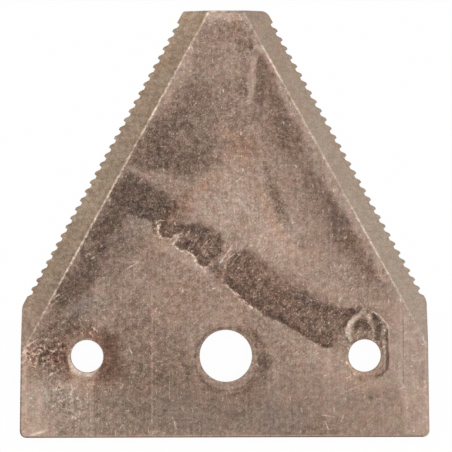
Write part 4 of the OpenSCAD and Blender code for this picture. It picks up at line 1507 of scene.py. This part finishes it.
# %% [markdown]
# ## Mottled tint
# Oxide grows in clouds a few millimetres across. Two noises of different size make them: the broader one
# changes the hue and the finer one the shade. The second is shifted, so the two clouds do not lie on each
# other.

# %% Mottled tint
SHADE_SHIFT = (31.0, 17.0, 5.0)
SHADE_RATE = 2.3
mottle_group, g_in, g_out = new_group(
    "Mottled tint", [("Vector", VECTOR, None), ("Size", FLOAT, 6.0)], [("Tint", FLOAT), ("Shade", FLOAT)])
t = mottle_group
rate = sums(t, "DIVIDE", 1.0, g_in["Size"])
hue_clouds = noise(t, g_in["Vector"], rate, detail=4.0, rough=0.6)
t.links.new(between(t, hue_clouds, 0.35, 0.65), g_out["Tint"])
shifted = arrows(t, "ADD", g_in["Vector"], SHADE_SHIFT)
shade_clouds = noise(t, shifted, times(t, rate, SHADE_RATE), detail=5.0, rough=0.65)
t.links.new(between(t, shade_clouds, 0.3, 0.7), g_out["Shade"])
print("group:", mottle_group.name, "with", len(t.nodes), "nodes")

# %% [markdown]
# ## Fine grain
# Close up the steel is peppered: dark and light specks, a few bright flecks, and faint lines along the way
# the strip was rolled. All three are noise. Stretching the coordinates turns specks into lines.

# %% Fine grain
PEPPER_STRETCH = (1.0, 0.75, 1.0)
LINE_STRETCH = (1.0, 0.06, 1.0)
FLECK_SHIFT = (7.0, 43.0, 11.0)
FLECK_RATE, LINE_RATE = 0.8, 0.6
GRAIN_CONTRAST = 3.5
grain_group, g_in, g_out = new_group(
    "Fine grain", [("Vector", VECTOR, None), ("Size", FLOAT, 0.3)],
    [("Pepper", FLOAT), ("Flecks", FLOAT), ("Lines", FLOAT)])
t = grain_group
rate = sums(t, "DIVIDE", 1.0, g_in["Size"])
specks = noise(t, arrows(t, "MULTIPLY", g_in["Vector"], PEPPER_STRETCH), rate, detail=1.0, rough=0.6)
t.links.new(times(t, centred(t, specks), GRAIN_CONTRAST), g_out["Pepper"])
# The bright flecks are painted glints, sparkles of bare metal painted into the colour.
shifted = arrows(t, "ADD", g_in["Vector"], FLECK_SHIFT)
flecks = noise(t, shifted, times(t, rate, FLECK_RATE), detail=1.0)
t.links.new(between(t, flecks, 0.62, 0.72), g_out["Flecks"])
drawn = arrows(t, "MULTIPLY", g_in["Vector"], LINE_STRETCH)
lines = noise(t, drawn, times(t, rate, LINE_RATE), rough=0.6)
t.links.new(times(t, centred(t, lines), GRAIN_CONTRAST), g_out["Lines"])
print("group:", grain_group.name, "with", len(t.nodes), "nodes")

# %% [markdown]
# ## A scale of steel tones
# Old steel runs from burnt grease, which is nearly black, to clean metal. Seven steps between them are
# written as on a paint card: the tone, and then red, green and blue from 0 to 255. Nodes take linear
# colours, so a helper turns the one kind into the other.

# %% Scale of steel tones
STEEL_SCALE = [
    (-1.5, 46, 36, 30), (-1.0, 82, 66, 57), (-0.5, 115, 94, 82), (0.0, 150, 127, 112),
    (0.5, 181, 158, 142), (1.0, 211, 190, 174), (1.5, 240, 224, 208),
]


def tone(red, green, blue):
    """A colour given the way a paint card gives it, as the linear colour that nodes take."""
    def linear(v):
        v = v / 255
        return v / 12.92 if v <= 0.04045 else ((v + 0.055) / 1.055) ** 2.4
    return (linear(red), linear(green), linear(blue), 1.0)


print("darkest step, linear:", [round(v, 3) for v in tone(*STEEL_SCALE[0][1:])])

# %% [markdown]
# ## Colour of old steel
# This group turns a tone, a warmth and an olive lean into a colour. A colour ramp holds the scale, and the
# two leans then multiply it. With one ramp for all surfaces, a change to the steel shows everywhere.

# %% Colour of old steel
GREY_LEAN, RUST_LEAN = (0.93, 1.04, 1.13, 1.0), (1.09, 0.95, 0.86, 1.0)
PINK_LEAN, OLIVE_LEAN = (1.05, 0.95, 1.05, 1.0), (0.95, 1.05, 0.95, 1.0)


def stretched(tree, value, low, high):
    """A value from low to high, moved to 0 to 1."""
    return place(tree, "ShaderNodeMapRange", {"Value": value, "From Min": low, "From Max": high}).outputs[0]


def mixed(tree, share, a, b, blend="MIX"):
    """Mix of two colours, which are inputs 6 and 7 of a Mix node."""
    mix = place(tree, "ShaderNodeMix", {0: share, 6: a, 7: b}, data_type="RGBA", blend_type=blend)
    return mix.outputs[2]


steel_group, g_in, g_out = new_group(
    "Old steel", [("Tone", FLOAT, 0.0), ("Warmth", FLOAT, 0.0), ("Olive", FLOAT, 0.0)], [("Colour", COLOUR)])
t = steel_group
lowest, highest = STEEL_SCALE[0][0], STEEL_SCALE[-1][0]
scale = place(t, "ShaderNodeValToRGB", {0: stretched(t, g_in["Tone"], lowest, highest)})
stops = scale.color_ramp.elements
for mark, *_ in STEEL_SCALE[1:-1]:
    stops.new((mark - lowest) / (highest - lowest))
for stop, (_, red, green, blue) in zip(stops, STEEL_SCALE):
    stop.color = tone(red, green, blue)
steel = scale.outputs["Color"]
for socket, low_lean, high_lean in (("Warmth", GREY_LEAN, RUST_LEAN), ("Olive", PINK_LEAN, OLIVE_LEAN)):
    leaning = mixed(t, stretched(t, g_in[socket], -1.0, 1.0), low_lean, high_lean)
    steel = mixed(t, 1.0, steel, leaning, "MULTIPLY")
t.links.new(steel, g_out["Colour"])


def steel_colour(tree, tone_value, warmth, olive=0.0):
    """Colour of old steel at a tone, a warmth and an olive lean."""
    return use_group(tree, steel_group, {"Tone": tone_value, "Warmth": warmth, "Olive": olive})["Colour"]


print("group:", steel_group.name, "with", len(stops), "steps")

# %% [markdown]
# ## Short scratches
# Hundreds of fine scratches cover the steel. Modelling each would take too many points, so a Voronoi
# texture parts the surface into cells, and each cell holds one line. The cell's random colour gives its
# line an angle, a length and a strength, and a share of the cells stays empty.

# %% Short scratches
SHORTEST, LENGTH_RANGE = 0.1, 0.4
LINE_CORE, END_CORE = 0.3, 0.4
scratch_group, g_in, g_out = new_group(
    "Short scratches",
    [("Vector", VECTOR, None), ("Cell", FLOAT, 2.0), ("Length", FLOAT, 1.0), ("Width", FLOAT, 0.06),
     ("Angle", FLOAT, 1.0), ("Spread", FLOAT, 0.6), ("Share", FLOAT, 0.5)],
    [("Scratch", FLOAT)])
t = scratch_group
rate = sums(t, "DIVIDE", 1.0, g_in["Cell"])
cells = place(t, "ShaderNodeTexVoronoi", {"Vector": g_in["Vector"], "Scale": rate},
              voronoi_dimensions="2D").outputs
luck = place(t, "ShaderNodeSeparateColor", {0: cells["Color"]}).outputs
from_middle = arrows(t, "SUBTRACT", g_in["Vector"], cells["Position"])
offset = place(t, "ShaderNodeSeparateXYZ", {0: from_middle}).outputs
turn = plus(t, g_in["Angle"], centred(t, luck[0]), g_in["Spread"])
cosine, sine = sums(t, "COSINE", turn), sums(t, "SINE", turn)
along = sums(t, "ADD", times(t, offset["X"], cosine), times(t, offset["Y"], sine))
across = sums(t, "SUBTRACT", times(t, offset["Y"], cosine), times(t, offset["X"], sine))
half = times(t, g_in["Length"], plus(t, SHORTEST, luck[2], LENGTH_RANGE))
thin = between(t, sums(t, "ABSOLUTE", across), g_in["Width"], times(t, g_in["Width"], LINE_CORE))
ends = between(t, sums(t, "ABSOLUTE", along), half, times(t, half, END_CORE))
t.links.new(times(t, thin, ends, between(t, luck[1], g_in["Share"], 0.0)), g_out["Scratch"])
print("group:", scratch_group.name, "with", len(t.nodes), "nodes")

# %% [markdown]
# ## Starting a material
# Each material starts from Blender's Principled shader and the place on the surface, in millimetres. Object
# coordinates are used and not generated ones, because they keep their scale when the shape changes. Every
# steel ends alike too: its colour, roughness and metal go to the shader, and its relief goes through a Bump
# node.

# %% Material helpers


def new_material(name):
    """A material with a Principled shader, and the surface position in millimetres."""
    material = bpy.data.materials.new(name)
    material.use_nodes = True
    tree = material.node_tree
    where = place(tree, "ShaderNodeTexCoord").outputs["Object"]
    in_mm = place(tree, "ShaderNodeVectorMath", {0: where, "Scale": 1 / MM}, operation="SCALE").outputs[0]
    return material, tree, tree.nodes["Principled BSDF"], in_mm


def finish_material(tree, shader, colour, rough, metal, relief, depth):
    """Joins the finished colour, roughness, metal and relief to the shader."""
    tree.links.new(colour, shader.inputs["Base Color"])
    tree.links.new(rough, shader.inputs["Roughness"])
    tree.links.new(metal, shader.inputs["Metallic"])
    bump = place(tree, "ShaderNodeBump", {"Height": relief, "Distance": depth, "Strength": 1.0})
    tree.links.new(bump.outputs["Normal"], shader.inputs["Normal"])


print("materials so far:", len(blade_mesh.materials))

# %% [markdown]
# ## Steel of the face
# The face and the bevels are tanned steel: a brown skin of oxide, darker where old grease burnt on and
# lighter where hay rubbed it. The washes give the broad tones, and the shader adds what is finer than the
# mesh. The coordinates are flattened first, so that grooves do not stretch the grain.

# %% Start the face steel
FACE_GRAIN = 0.26
FACE_CLOUDS = 2.0
ARRIS_BLUR = 0.08
face, t, shader, mm = new_material("tanned_face_steel")
flat_mm = arrows(t, "MULTIPLY", mm, (1.0, 1.0, 0.0))
grain = use_group(t, grain_group, {"Vector": flat_mm, "Size": FACE_GRAIN})
clouds = use_group(t, mottle_group, {"Vector": flat_mm, "Size": FACE_CLOUDS})
arris_value = attribute(t, "arris")
off_bevel = between(t, arris_value, ARRIS_BLUR, -ARRIS_BLUR)
tone_now = attribute(t, "tone")
warm_now = attribute(t, "warmth")
print(face.name, "has", len(t.nodes), "nodes so far")

# %% [markdown]
# ## Smear on the face
# The distance to the smear, shaken by noise, gives its edge: crisp below and faded above. Inside, blotches
# change its tone and warmth, the metal just inside its sharp edge is darkest, which is painted shadow of the
# torn wall, and fine hatching runs across it, the way the torn metal was dragged.

# %% Smear on the face
EDGE_SHAKE = 1.2
CRISP_WIDTH, SOFT_WIDTH = 0.12, 1.3
SMEAR_TONE, BLOTCH_TONE, UNDER_EDGE_SHADOW_TONE = -0.68, 0.4, -0.35
SMEAR_WARMTH, BLOTCH_WARMTH, UNDER_EDGE_SHADOW_WARMTH = 0.15, 0.4, 0.4
SMEAR_TONE_SHARE, SMEAR_WARMTH_SHARE = 0.45, 0.4
HATCH_ANGLE = math.radians(55)
HATCH_SIZE = (3.0, 0.4, 1.0)
HATCH_STRENGTH = 0.8

gall_raw, soft = attribute(t, "gall_distance"), attribute(t, "gall_soft")
shaken = plus(t, gall_raw, centred(t, noise(t, flat_mm, 1.3, 4.0, 0.65)), EDGE_SHAKE)
width = plus(t, CRISP_WIDTH, soft, SOFT_WIDTH)
gall_mask = between(t, shaken, width, times(t, width, -1.0))
blotch = between(t, noise(t, flat_mm, 0.4, 4.0, 0.65), 0.35, 0.65)
# Just inside the sharp edge the smear gets a painted shadow of its torn wall.
shadow_under_edge = times(t, between(t, gall_raw, -2.0, -0.3), between(t, soft, 0.3, 0.0))
gall_tone = plus(t, plus(t, SMEAR_TONE, blotch, BLOTCH_TONE), shadow_under_edge, UNDER_EDGE_SHADOW_TONE)
gall_warm = plus(t, plus(t, SMEAR_WARMTH, blotch, BLOTCH_WARMTH), shadow_under_edge, UNDER_EDGE_SHADOW_WARMTH)
tone_now = blended(t, times(t, gall_mask, SMEAR_TONE_SHARE), tone_now, gall_tone)
warm_now = blended(t, times(t, gall_mask, SMEAR_WARMTH_SHARE), warm_now, gall_warm)
turned = {"Vector": flat_mm, "Rotation": (0.0, 0.0, HATCH_ANGLE), "Scale": HATCH_SIZE}
across = place(t, "ShaderNodeMapping", turned, vector_type="TEXTURE").outputs[0]
hatching = centred(t, noise(t, across, 1.0, rough=0.6))
tone_now = plus(t, tone_now, hatching, times(t, gall_mask, HATCH_STRENGTH))
print(face.name, "has", len(t.nodes), "nodes so far")

# %% [markdown]
# ## Speckle and pits on the face
# Pepper, clouds and flecks are stronger where the skin is rough, so the roughness sets how much of each is
# added. Rolling lines and flecks stay off the ground bevels. In the pitted corner a coarser noise with a
# floor leaves bright curls on a dark ground.

# %% Speckle and pits on the face
CALM_PEPPER, ROUGH_PEPPER = 0.19, 0.48
CALM_CLOUDS, ROUGH_CLOUDS = 0.22, 0.85
LINE_STRENGTH = 0.16
PIT_FLOOR, PIT_STRENGTH = -0.05, 7.5
TINT_STRENGTH = 0.3

rough_all = sums(t, "MAXIMUM", attribute(t, "roughened"), gall_mask)
tone_now = plus(t, tone_now, grain["Pepper"], blended(t, rough_all, CALM_PEPPER, ROUGH_PEPPER))
tone_now = plus(t, tone_now, centred(t, clouds["Shade"]), blended(t, rough_all, CALM_CLOUDS, ROUGH_CLOUDS))
tone_now = plus(t, tone_now, grain["Lines"], times(t, off_bevel, LINE_STRENGTH))
# Painted glints, the bright flecks, strongest where the skin is rough.
tone_now = plus(t, tone_now, grain["Flecks"], times(t, off_bevel, rough_all))
curls = sums(t, "MAXIMUM", centred(t, noise(t, flat_mm, 1.4, 3.0, 0.65)), PIT_FLOOR)
tone_now = plus(t, tone_now, curls, times(t, attribute(t, "pitted"), PIT_STRENGTH))
warm_now = plus(t, warm_now, centred(t, clouds["Tint"]), TINT_STRENGTH)
print(face.name, "has", len(t.nodes), "nodes so far")

# %% [markdown]
# ## Bright arrises and burr on the face
# Rubbing polishes edges first, and a polished edge catches the light. The arris is a thin bright line, partly
# polish and partly painted highlight, whose distance is shaken by noise and whose strength comes in patches.
# The burr beside the smear is bright in the same way, partly bare metal and partly painted highlight, but
# broken into crumbs.

# %% Bright arrises and burr on the face
ARRIS_SHAKE = 0.36
ARRIS_LINE_OUTER, ARRIS_LINE_INNER = 0.3, 0.05
PATCH_START, PATCH_RANGE = 0.45, 0.9
ARRIS_POLISH_AND_HIGHLIGHT_TONE, BURR_METAL_AND_HIGHLIGHT_TONE = 1.1, 1.3

# The arris line is partly polish and partly a painted highlight.
shaken = plus(t, arris_value, centred(t, noise(t, flat_mm, 1.4, 3.0, 0.6)), ARRIS_SHAKE)
arris_polish_and_highlight = between(t, sums(t, "ABSOLUTE", shaken), ARRIS_LINE_OUTER, ARRIS_LINE_INNER)
patchy = plus(t, PATCH_START, clouds["Shade"], PATCH_RANGE)
tone_now = plus(t, tone_now, times(t, arris_polish_and_highlight, attribute(t, "arris_bright"), patchy), ARRIS_POLISH_AND_HIGHLIGHT_TONE)
# The burr crumbs are partly bare metal and partly a painted highlight.
crumbs = between(t, noise(t, flat_mm, 1.7, 3.0, 0.7), 0.4, 0.6)
tone_now = plus(t, tone_now, times(t, attribute(t, "burr"), crumbs), BURR_METAL_AND_HIGHLIGHT_TONE)
print(face.name, "has", len(t.nodes), "nodes so far")

# %% [markdown]
# ## Fine scratches on the face
# The group of short scratches is placed twice: once for longer scratches that mostly lie one way, as stems
# drag over the plate, and once for a crowd of tiny ones that lie every way. Both stay off the bevels.

# %% Fine scratches on the face
LONGER = {"Cell": 2.0, "Length": 1.5, "Width": 0.1, "Angle": 1.05, "Spread": 1.6, "Share": 0.7}
TINIER = {"Cell": 0.9, "Length": 0.6, "Width": 0.1, "Angle": 1.2, "Spread": 3.0, "Share": 0.7}
LONGER_TONE, TINIER_TONE = 0.8, 0.45
TINIER_SHIFT = (3.0, 5.0, 0.0)

scratch = use_group(t, scratch_group, {"Vector": flat_mm, **LONGER})["Scratch"]
tone_now = plus(t, tone_now, times(t, scratch, off_bevel), LONGER_TONE)
shifted = arrows(t, "ADD", flat_mm, TINIER_SHIFT)
scratch = use_group(t, scratch_group, {"Vector": shifted, **TINIER})["Scratch"]
tone_now = plus(t, tone_now, times(t, scratch, off_bevel), TINIER_TONE)
print(face.name, "has", len(t.nodes), "nodes so far")

# %% [markdown]
# ## Colour, gloss and relief of the face
# With tone, warmth and olive lean in hand, the colour comes from the shared group. Rough places are duller
# and less metallic, because oxide is not a metal, and the ground bevels shine a little more. The grain also
# gives the relief, only a few hundredths of a millimetre deep, since all larger shapes are in the mesh.

# %% Finish the face steel
OLIVE_SHIFT = (13.0, 3.0, 0.0)
BEVEL_OLIVE, FACE_OLIVE = 2.0, 3.6
BEVEL_GLOSS, CALM_GLOSS, ROUGH_GLOSS = 0.42, 0.44, 0.62
BEVEL_METAL, CALM_METAL, ROUGH_METAL = 0.88, 0.95, 0.65
BEVEL_RELIEF, FACE_RELIEF = 0.08, 0.4
FACE_RELIEF_DEPTH = 0.03 * MM

green = noise(t, arrows(t, "ADD", flat_mm, OLIVE_SHIFT), 0.5, 4.0, 0.7)
olive_now = plus(t, attribute(t, "olive"), centred(t, green), blended(t, off_bevel, BEVEL_OLIVE, FACE_OLIVE))
colour = steel_colour(t, tone_now, warm_now, olive_now)
rough = blended(t, off_bevel, BEVEL_GLOSS, blended(t, rough_all, CALM_GLOSS, ROUGH_GLOSS))
metal = blended(t, off_bevel, BEVEL_METAL, blended(t, rough_all, CALM_METAL, ROUGH_METAL))
relief = times(t, grain["Pepper"], blended(t, off_bevel, BEVEL_RELIEF, FACE_RELIEF))
finish_material(t, shader, colour, rough, metal, relief, FACE_RELIEF_DEPTH)
blade_mesh.materials.append(face)
print(face.name, "has", len(t.nodes), "nodes")

# %% [markdown]
# ## Steel of the sheared walls
# The walls and the teeth were sheared and have rusted evenly, so they need less: clouds and grain from the
# same groups. There is no position that is flat on every wall, so here the coordinates keep all three axes.

# %% Steel of the sheared walls
WALL_CLOUDS = 3.0
PLAIN_GRAIN = 0.3
WALL_TONE, WALL_CLOUD_TONE, WALL_PEPPER = -0.05, 0.5, 0.3
WALL_GLOSS, WALL_METAL = (0.6, 0.45), (0.7, 0.9)
PLAIN_RELIEF_DEPTH = 0.02 * MM

wall, t, shader, mm = new_material("sheared_wall_steel")
clouds = use_group(t, mottle_group, {"Vector": mm, "Size": WALL_CLOUDS})
grain = use_group(t, grain_group, {"Vector": mm, "Size": PLAIN_GRAIN})
tone_now = plus(t, WALL_TONE, centred(t, clouds["Shade"]), WALL_CLOUD_TONE)
tone_now = plus(t, tone_now, grain["Pepper"], WALL_PEPPER)
colour = steel_colour(t, tone_now, centred(t, clouds["Tint"]))
rough = blended(t, clouds["Shade"], *WALL_GLOSS)
metal = blended(t, clouds["Shade"], *WALL_METAL)
finish_material(t, shader, colour, rough, metal, grain["Pepper"], PLAIN_RELIEF_DEPTH)
blade_mesh.materials.append(wall)
print(wall.name, "has", len(t.nodes), "nodes")

# %% [markdown]
# ## Steel of the underside
# The underside slid on the guards and was riveted to the knife bar. So it is darker where the bar covered
# it, with a border across the plate, and rubbed lighter towards the cutting edges. The distance to the
# bevels is known from their planes, and the shader works it out from the place alone.

# %% Tone of the underside
BAR_EDGE, BAR_BORDER, BAR_WANDER = 9.0, 0.4, 0.8
BAR_TONE = -0.3
UNDER_CLOUDS = 9.0
UNDER_TONE, UNDER_CLOUD_TONE, UNDER_PEPPER = 0.05, 0.35, 0.32
RUBBED_FROM, RUBBED_TO, RUBBED_TONE = -1.5, 3.0, 0.35

under, t, shader, mm = new_material("underside_steel")
clouds = use_group(t, mottle_group, {"Vector": mm, "Size": UNDER_CLOUDS})
grain = use_group(t, grain_group, {"Vector": mm, "Size": PLAIN_GRAIN})
tone_now = plus(t, UNDER_TONE, centred(t, clouds["Shade"]), UNDER_CLOUD_TONE)
tone_now = plus(t, tone_now, grain["Pepper"], UNDER_PEPPER)
beyond = []
for n, d in bevels:
    level = np.hypot(n[0], n[1])
    reach = arrows(t, "DOT_PRODUCT", mm, (n[0] / level, n[1] / level, 0.0), output=1)
    beyond.append(sums(t, "ADD", reach, (n[2] * top_z - d) / level))
rubbed = between(t, sums(t, "MAXIMUM", *beyond), RUBBED_FROM, RUBBED_TO)
tone_now = plus(t, tone_now, times(t, rubbed, clouds["Tint"]), RUBBED_TONE)
from_base = place(t, "ShaderNodeSeparateXYZ", {0: mm}).outputs["Y"]
covered = between(t, plus(t, from_base, clouds["Shade"], BAR_WANDER), BAR_EDGE + BAR_BORDER, BAR_EDGE)
tone_now = plus(t, tone_now, covered, BAR_TONE)
print(under.name, "has", len(t.nodes), "nodes so far")

# %% [markdown]
# ## Scratches and gloss of the underside
# The knife runs to and fro, so the scratches underneath lie along its travel, which is X. They come from
# the same group as those of the face, with their own angle and spread.

# %% Finish the underside
SLID = {"Cell": 2.4, "Length": 1.8, "Width": 0.1, "Angle": 0.1, "Spread": 1.0, "Share": 0.8}
SLID_TONE = 0.6
UNDER_TINT = 0.5
UNDER_GLOSS, UNDER_METAL = (0.58, 0.45), (0.75, 0.9)

scratch = use_group(t, scratch_group, {"Vector": mm, **SLID})["Scratch"]
tone_now = plus(t, tone_now, scratch, SLID_TONE)
colour = steel_colour(t, tone_now, times(t, centred(t, clouds["Tint"]), UNDER_TINT))
rough = blended(t, clouds["Shade"], *UNDER_GLOSS)
metal = blended(t, clouds["Shade"], *UNDER_METAL)
finish_material(t, shader, colour, rough, metal, grain["Pepper"], PLAIN_RELIEF_DEPTH)
blade_mesh.materials.append(under)
print("materials of the blade:", [m.name for m in blade_mesh.materials])

# %% [markdown]
# ## Floor
# The plate lies on a white sheet. To look white in the picture without more light on the plate, the sheet
# mostly glows for the camera and in reflections, at strength 1. The small rest is matt paper, which takes
# the plate's shadow, and to other rays it is matt alone. It is clear from below, so that the underside can
# be looked at.

# %% Floor
FLOOR_HALF = 1.5
FLOOR_GAP = 0.1 * MM
GLOW_SHARE = 0.96
PAPER_WHITE = (0.9, 0.9, 0.9, 1.0)
PURE_WHITE = (1.0, 1.0, 1.0, 1.0)

floor_mesh = bpy.data.meshes.new("floor")
corners = [(x * FLOOR_HALF, y * FLOOR_HALF, 0) for x, y in ((-1, -1), (1, -1), (1, 1), (-1, 1))]
floor_mesh.from_pydata(corners, [], [(0, 1, 2, 3)])
floor = bpy.data.objects.new("floor", floor_mesh)
floor.location.z = -FLOOR_GAP
bpy.context.scene.collection.objects.link(floor)

paper = bpy.data.materials.new("white_sheet")
paper.use_nodes = True
t = paper.node_tree
t.nodes.clear()
rays = place(t, "ShaderNodeLightPath").outputs
mirrored = sums(t, "MAXIMUM", rays["Is Glossy Ray"], rays["Is Transmission Ray"])
seen = sums(t, "MAXIMUM", rays["Is Camera Ray"], mirrored)
matt = place(t, "ShaderNodeBsdfDiffuse", {"Color": PAPER_WHITE}).outputs[0]
glow = place(t, "ShaderNodeEmission", {"Color": PURE_WHITE, "Strength": 1.0}).outputs[0]
surface = place(t, "ShaderNodeMixShader", {0: times(t, seen, GLOW_SHARE), 1: matt, 2: glow}).outputs[0]
behind = place(t, "ShaderNodeNewGeometry").outputs["Backfacing"]
clear = place(t, "ShaderNodeBsdfTransparent").outputs[0]
sheet = place(t, "ShaderNodeMixShader", {0: behind, 1: surface, 2: clear}).outputs[0]
place(t, "ShaderNodeOutputMaterial", {"Surface": sheet})
floor_mesh.materials.append(paper)
print("floor is", 2 * FLOOR_HALF, "m wide, with", paper.name)

# %% [markdown]
# ## Light
# The photograph has soft, even light, as from a tent. A white world gives most of it. Two large soft lamps,
# the right one stronger, add just enough direction for the bevels to differ and the plate to cast a faint
# shadow.

# %% Light
WORLD_STRENGTH = 0.92
LAMP_SIZE = 0.6
BLADE_MIDDLE = Vector((0, 0.024, 0))

world = bpy.data.worlds.new("studio")
bpy.context.scene.world = world
world.use_nodes = True
sky = world.node_tree.nodes["Background"]
sky.inputs["Color"].default_value = PURE_WHITE
sky.inputs["Strength"].default_value = WORLD_STRENGTH


def soft_lamp(name, place_at, watts):
    """A square soft lamp that faces the middle of the blade."""
    data = bpy.data.lights.new(name, "AREA")
    data.shape = "SQUARE"
    data.size = LAMP_SIZE
    data.energy = watts
    lamp = bpy.data.objects.new(name, data)
    lamp.location = place_at
    lamp.rotation_euler = (BLADE_MIDDLE - Vector(place_at)).to_track_quat("-Z", "Y").to_euler()
    bpy.context.scene.collection.objects.link(lamp)
    return lamp


lamps = [soft_lamp("lamp_right", (0.75, 0.35, 0.6), 1.2), soft_lamp("lamp_left", (-0.75, 0.4, 0.6), 0.7)]
print("lamps in watts:", {lamp.name: round(lamp.data.energy, 2) for lamp in lamps})

# %% [markdown]
# ## Camera
# The camera looks straight down on the plate from far above, with a long lens, so hardly anything is
# foreshortened. The lens follows from the height and the width of the field, so either can be changed by
# itself. A tiny roll sets the plate as level as the photograph has it.

# %% Camera
CAMERA_HEIGHT = 0.55
FIELD = 0.08292
LOOK_AT = (0.00009, 0.02378)
ROLL = math.radians(-0.14)
SENSOR_WIDTH = 36.0
NEAREST = 0.01

camera_data = bpy.data.cameras.new("camera")
camera_data.sensor_width = SENSOR_WIDTH
camera_data.lens = SENSOR_WIDTH * CAMERA_HEIGHT / FIELD
camera_data.clip_start = NEAREST
camera = bpy.data.objects.new("camera", camera_data)
camera.location = (*LOOK_AT, CAMERA_HEIGHT)
camera.rotation_euler = (0, 0, ROLL)
bpy.context.scene.collection.objects.link(camera)
bpy.context.scene.camera = camera
bpy.context.scene.view_settings.view_transform = "Standard"
print("lens of", round(camera_data.lens, 1), "mm sees", round(FIELD / MM, 2), "mm across")
